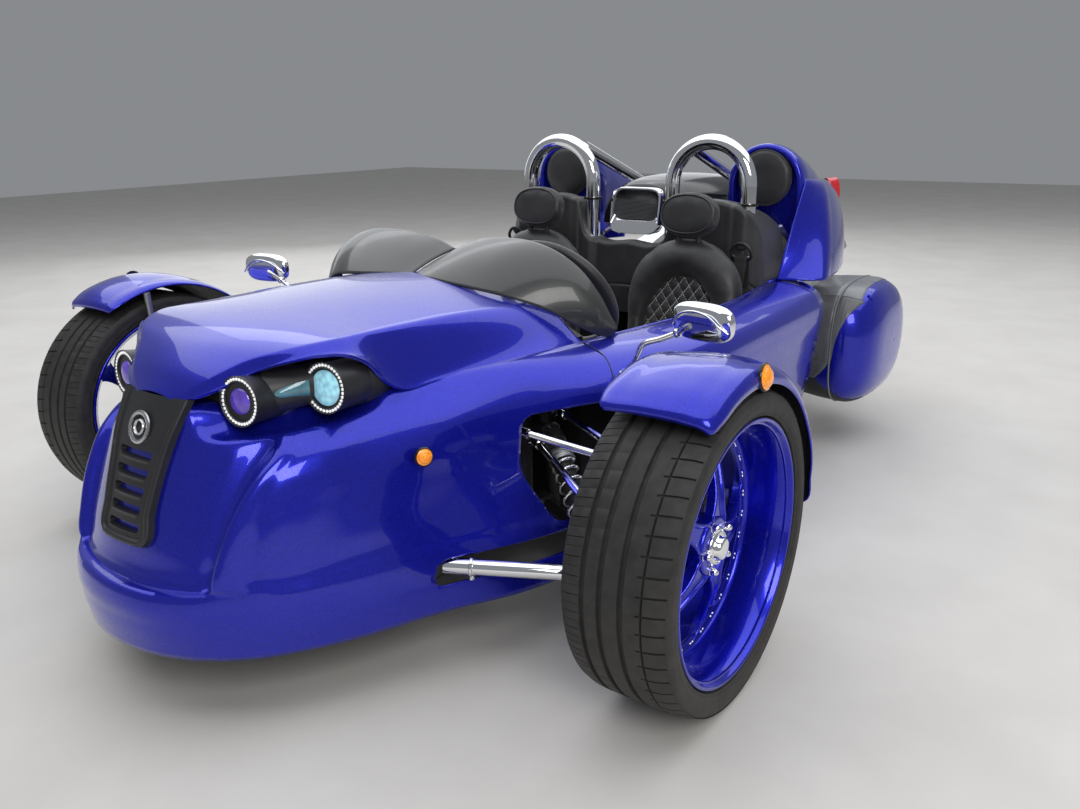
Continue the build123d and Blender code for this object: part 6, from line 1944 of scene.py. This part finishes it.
# %% Wishbones, dampers and rack
# Joints of the left wheel's suspension as (x, station, height) in millimetres
LOW_BALL, HIGH_BALL = (800, 0, 215), (800, 0, 456)
LOW_PIVOTS = (430, -238, 240), (430, 150, 240)
HIGH_PIVOTS = (440, 20, 470), (440, 200, 470)
DAMPER_TOP, DAMPER_FOOT = (452, 160, 430), (655, 24, 239)
ROD_INNER, ROD_OUTER = (456, 96, 420), (738, -104, 390.5)
for name, side in LEFT_RIGHT:
    spot = lambda x, s, z, side=side: point(side * x, s, z)
    low_ball, high_ball = spot(*LOW_BALL), spot(*HIGH_BALL)
    arms = []
    front, back = (spot(*pivot) for pivot in LOW_PIVOTS)
    tube_line = [(0, 10), (8, 15), (20, 17), (-34, 17), (-22, 15), (-16, 11), (0, 9)]
    arms.append(link("front_tube", front, low_ball, tube_line, 40, chrome))
    way = tuple(unit(low_ball - front))
    arms += clamp(front + np.array(way) * 0.075, way, 17, chrome)
    arms += eye(front, (0, 1, 0), 23, 46, satin)
    arms += eye(back, (0, 1, 0), 23, 46, satin)
    arm = [(0, 12), (14, 17), (60, 19), (-60, 16), (-12, 14), (0, 10)]
    arms.append(link("back_arm", back, low_ball, arm, 36, powder))
    foot = spot(*DAMPER_FOOT)
    strut = [(0, 8), (6, 10), (-6, 10), (0, 8)]
    for start, share in ((front, 0.60), (back, 0.62)):
        start = start + (low_ball - start) * share
        arms.append(link("strut", start, foot + np.array([0, 0, -0.004]), strut, 24, powder))
    arms += eye(foot + np.array([0, 0, 0.002]), (0, 1, 0), 13, 40, powder)
    joint = [(-20, 0), (-20, 17), (-16, 20), (-6, 22), (4, 22), (12, 19), (19, 14), (19, 0)]
    arms.append(turned("low_joint", joint, low_ball, (0, 0, 1), 40, powder))
    rod = [
        (0, 7), (22, 9), (24, 12), (52, 12), (54, 9.5), (62, 9.5), (64, 8.5),
        (-70, 8.5), (-66, 11), (-44, 11), (-42, 9), (0, 8),
    ]
    for pivot in HIGH_PIVOTS:
        pivot = spot(*pivot)
        arms.append(link("upper_rod", pivot, high_ball, rod, 32, chrome))
        arms += eye(pivot, (0, 1, 0), 17, 38, chrome)
    joint = [(-15, 0), (-15, 13), (-10, 17), (6, 19), (12, 17), (15, 12), (16, 0)]
    arms.append(turned("high_joint", joint, high_ball, (0, 0, 1), 40, powder))
    arms = join(f"arms_{name}", arms)

    top = spot(*DAMPER_TOP)
    way = unit(foot - top)
    length = np.linalg.norm(foot - top) * 1000
    along = lambda place: top + way * place / 1000
    can = [(0, 0), (0, 20), (14, 22), (18, 24), (70, 24), (74, 21), (-70, 21), (-66, 9), (-18, 9), (0, 9), (0, 0)]
    collar = [
        (66, 22), (66, 29.5), (69, 31), (75, 31), (77, 28.5), (80, 28.5), (82, 31), (90, 31.6), (93, 30),
        (93, 22),
    ]
    coil = [link("can", top, foot, can, 40, satin), link("collar", top, foot, collar, 40, alloy)]
    for place in 34 + 3.1 * np.arange(10):
        coil.append(link("thread_ring", top, foot, [(place, 22), (place + 1, 25.2), (place + 2, 22)], 32, alloy))
    seat = [(-44, 9), (-44, 30), (-40, 31.5), (-34, 31.5), (-30, 26), (-24, 14), (-18, 11)]
    coil.append(link("spring_seat", top, foot, seat, 40, alloy))
    coil.append(helix("coil", along(97), along(length - 48), 0.0269, 0.0045, 6.2, chrome))
    stop = [(-66, 9), (-66, 15), (-58, 17), (-48, 15), (-44, 9)]
    coil.append(link("bump_stop", top, foot, stop, 28, rubber))
    coil += eye(top, (0, 1, 0), 15, 34, alloy)
    coil += eye(foot, (0, 1, 0), 12, 30, alloy)
    coil = join(f"coilover_{name}", coil)

    fold = ((1, 27), (3.5, 34.5), (5.7, 36), (7.9, 34.5), (10.4, 27))
    bellows = [(-8, 22), (-8, 29), (-2, 29.5), (0, 27)]
    bellows += [(2 + index * 11.4 + place, radius) for index in range(6) for place, radius in fold]
    bellows += [(71, 24), (72, 21.5), (71, 19.6), (40, 19.6)]
    gaiter = turned(f"gaiter_{name}", bellows, spot(330, 96, 420), (side, 0, 0), 56, rubber)

    inner, outer = spot(*ROD_INNER), spot(*ROD_OUTER)
    rod = [(0, 8), (8, 9), (10, 11.5), (22, 11.5), (24, 9), (-52, 9), (-50, 11.5), (-38, 11.5), (-36, 9), (0, 8)]
    rod_parts = [link("tie_rod", inner, outer, rod, 28, chrome)]
    slide = [(-60, 11.8), (-18, 11.8), (-14, 15), (12, 15), (15, 11), (15, 0)]
    rod_parts.append(turned("slide", slide, inner, (side, 0, 0), 32, chrome))
    boot = [(-13, 0), (-13, 11), (-10, 14), (4, 15), (6, 13), (9, 12), (11, 13), (15, 12.5), (22, 9), (22, 0)]
    boot = [(place - 7, radius) for place, radius in boot]
    rod_parts.append(turned("boot", boot, outer, (0, 0, 1), 32, rubber))
    rod_parts = join(f"tie_rod_{name}", rod_parts)
    fit("car", "chrome", arms)
    fit("car", "damper_black", coil)
    fit("car", "frame_black", gaiter)
    fit("rack", "bright_steel", rod_parts)
    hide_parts("tie_rods")
rack_bar = paint(tube("rack_bar", [at(x, 96, 420) for x in (-400, 0, 400)], 0.0118, 24), steel)
fit("rack", "bright_steel", rack_bar)
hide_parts("wishbones")
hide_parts("dampers")
print("suspension arms:", len(arms.data.polygons), "faces; coil-over:", len(coil.data.polygons), "faces")

# %% [markdown]
# ## Mirrors and small lamps
# A mirror's back is a shallow dome over a rounded rectangle, d(e) = 20 (1 - (1 - e)^3), with e the
# way in from its edge. A wire swings across it from the stem.

# %% Mirrors
# Half width, half height and exponent of a mirror's outline
MIRROR_SHAPE = (82, 44, 3.0)
MIRROR = (
    # part, (scale, depth in millimetres) of its rows, material
    ("housing", [
        (1, 0), (1.0, -6), (0.985, -9), (0.95, -12), (0.86, -16), (0.70, -20), (0.5, -23), (0.25, -24.5),
        (0.02, -25),
    ], chrome),
    ("lip", [(1, 0), (0.99, 2.5), (0.95, 3.2), (0.915, 2.2), (0.91, 0.5)], chrome),
    ("glass", [(0.92, 1.4), (0.5, 1.0), (0.02, 0.8)], mirror_glass),
)


def mirror_rows(half_wide, half_high, power, levels, count=80):
    """Rows of a dome: levels are (scale, depth in millimetres), each a superellipse."""
    outline = rest_outline(half_wide, half_high, power, count)
    rows = []
    for scale, depth in levels:
        inset = (1 - scale) * half_high
        u = outline[:, 0] * (half_wide - inset) / half_wide
        v = outline[:, 1] * (half_high - inset) / half_high
        rows.append(np.column_stack([u, np.full(count, depth), v]))
    return np.array(rows)


for name, side in LEFT_RIGHT:
    turn = math.radians(-10 * side)
    middle = point(side * 752, 334, 692)
    spin = np.array([[math.cos(turn), -math.sin(turn), 0], [math.sin(turn), math.cos(turn), 0], [0, 0, 1]])
    place = lambda rows, spin=spin, middle=middle: middle + (rows @ spin.T) / 1000
    parts = []
    for part, levels, material in MIRROR:
        rows = place(mirror_rows(*MIRROR_SHAPE, levels))
        if part == "housing" and side > 0:
            rows = rows[:, ::-1]
        parts.append(paint(grid(part, rows, close_columns=True), material))
    wire = [
        (-78, -20, -14), (-56, -31, 4), (-30, -34, 22), (2, -35, 28), (34, -33, 22), (60, -27, 6),
        (76, -16, -12),
    ]
    wire = place(smooth_path([(side * -x, d, z) for x, d, z in wire], 60))
    joint, elbow, foot = point(side * 690, 330, 660), point(side * 600, 322, 618), point(side * 566, 330, 553)
    stem = [foot, foot + (elbow - foot) * 0.7, elbow, joint + (elbow - joint) * 0.4, joint]
    neck = [joint, joint + np.array([side * 0.022, -0.012, 0.016]), place(np.array([side * -20.0, -24, -8]))]
    parts.append(paint(tube("wire", wire, 0.0028, 12), chrome))
    parts.append(paint(tube("stem", smooth_path(stem, 40), 0.0068, 20), chrome))
    parts.append(paint(tube("neck", smooth_path(neck, 20), 0.0075, 20), chrome))
    ball = [(12 * math.cos(q), 12 * math.sin(q)) for q in np.linspace(np.pi, 0, 20)]
    parts.append(turned("ball", ball, joint, (side, 0, 0.4), 32, chrome))
    base = [(-4, 0), (-4, 22), (0, 22), (4, 21), (7, 16), (9, 11), (18, 9.5), (24, 9), (26, 7), (26, 0)]
    parts.append(turned("base", base, foot, (0.35 * side, 0, 1), 40, chrome))
    view = join(f"mirror_{name}", parts)
    fit("car", "chrome", view)
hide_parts("mirrors")

# %% Side markers, tail lamps and silencers
# Scale of the outline and depth in millimetres of a tail lamp's rows
TAIL_LAMP = (
    (1.0, -30), (1.0, 12), (0.97, 17), (0.9, 20), (0.89, 17), (0.87, 20), (0.7, 26), (0.4, 30), (0.02, 31),
)
# A silencer's can, (place, radius) in millimetres, from its front end and from its back end
CAN_FRONT = [(-62, 0), (-62, 30), (-30, 31), (-4, 40), (4, 50), (14, 54), (30, 55), (34, 53.5)]
CAN_BACK = [
    (-176, 53.5), (-172, 55), (-160, 55), (-156, 54), (-20, 52), (-6, 54.5), (-1, 55), (2, 53.5), (2, 50),
    (0, 47), (-8, 45), (-150, 44), (-150, 0),
]
lamps = []
for name, side in LEFT_RIGHT:
    aim = unit([side, -0.45, 0.12])
    foot = point(side * 424, -252, 486) + aim * 0.004
    lamps.append(marker("side_marker", foot, tuple(aim), 17, amber, 0.008))
    tail_place = point(side * 452, 2040, 838)
    tail_aim = unit([side * 0.5, 0.86, 0.1])
    across_lamp, up_lamp = np.cross(tail_aim, [0, 0, 1]), np.array([0, 0, 1])
    rows = []
    for scale, depth in TAIL_LAMP:
        outline = rest_outline(30 * scale, 62 * scale, 2.3, 64)
        rows.append([
            tail_place + across_lamp * u / 1000 + up_lamp * v / 1000 + tail_aim * depth / 1000 for u, v in outline
        ])
    lamps.append(paint(grid("tail_lamp", np.array(rows)[:, ::-1], close_columns=True), red_lens))
    front, back = point(side * 392, 1700, 440), point(side * 398, 2290, 606)
    way = unit(back - front)
    length = np.linalg.norm(back - front) * 1000
    profile = CAN_FRONT + [(length + place, radius) for place, radius in CAN_BACK]
    can = turned("can", profile, front, tuple(way), 72, chrome)
    pipe = [at(side * x, station, z) for x, station, z in ((150, 1600, 385), (240, 1605, 384), (340, 1625, 400))]
    pipe = paint(tube("pipe", smooth_path(pipe + [front - way * 0.03], 50), 0.024, 32), chrome)
    pipes = join(f"silencer_{name}", [can, pipe])
    fit("car", "chrome", pipes)
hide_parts("silencers")
lamps = join("small_lamps", lamps)
fit("car", "lamp_amber", lamps)
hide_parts("body_lamps")
print("small lamps:", len(lamps.data.polygons), "faces")
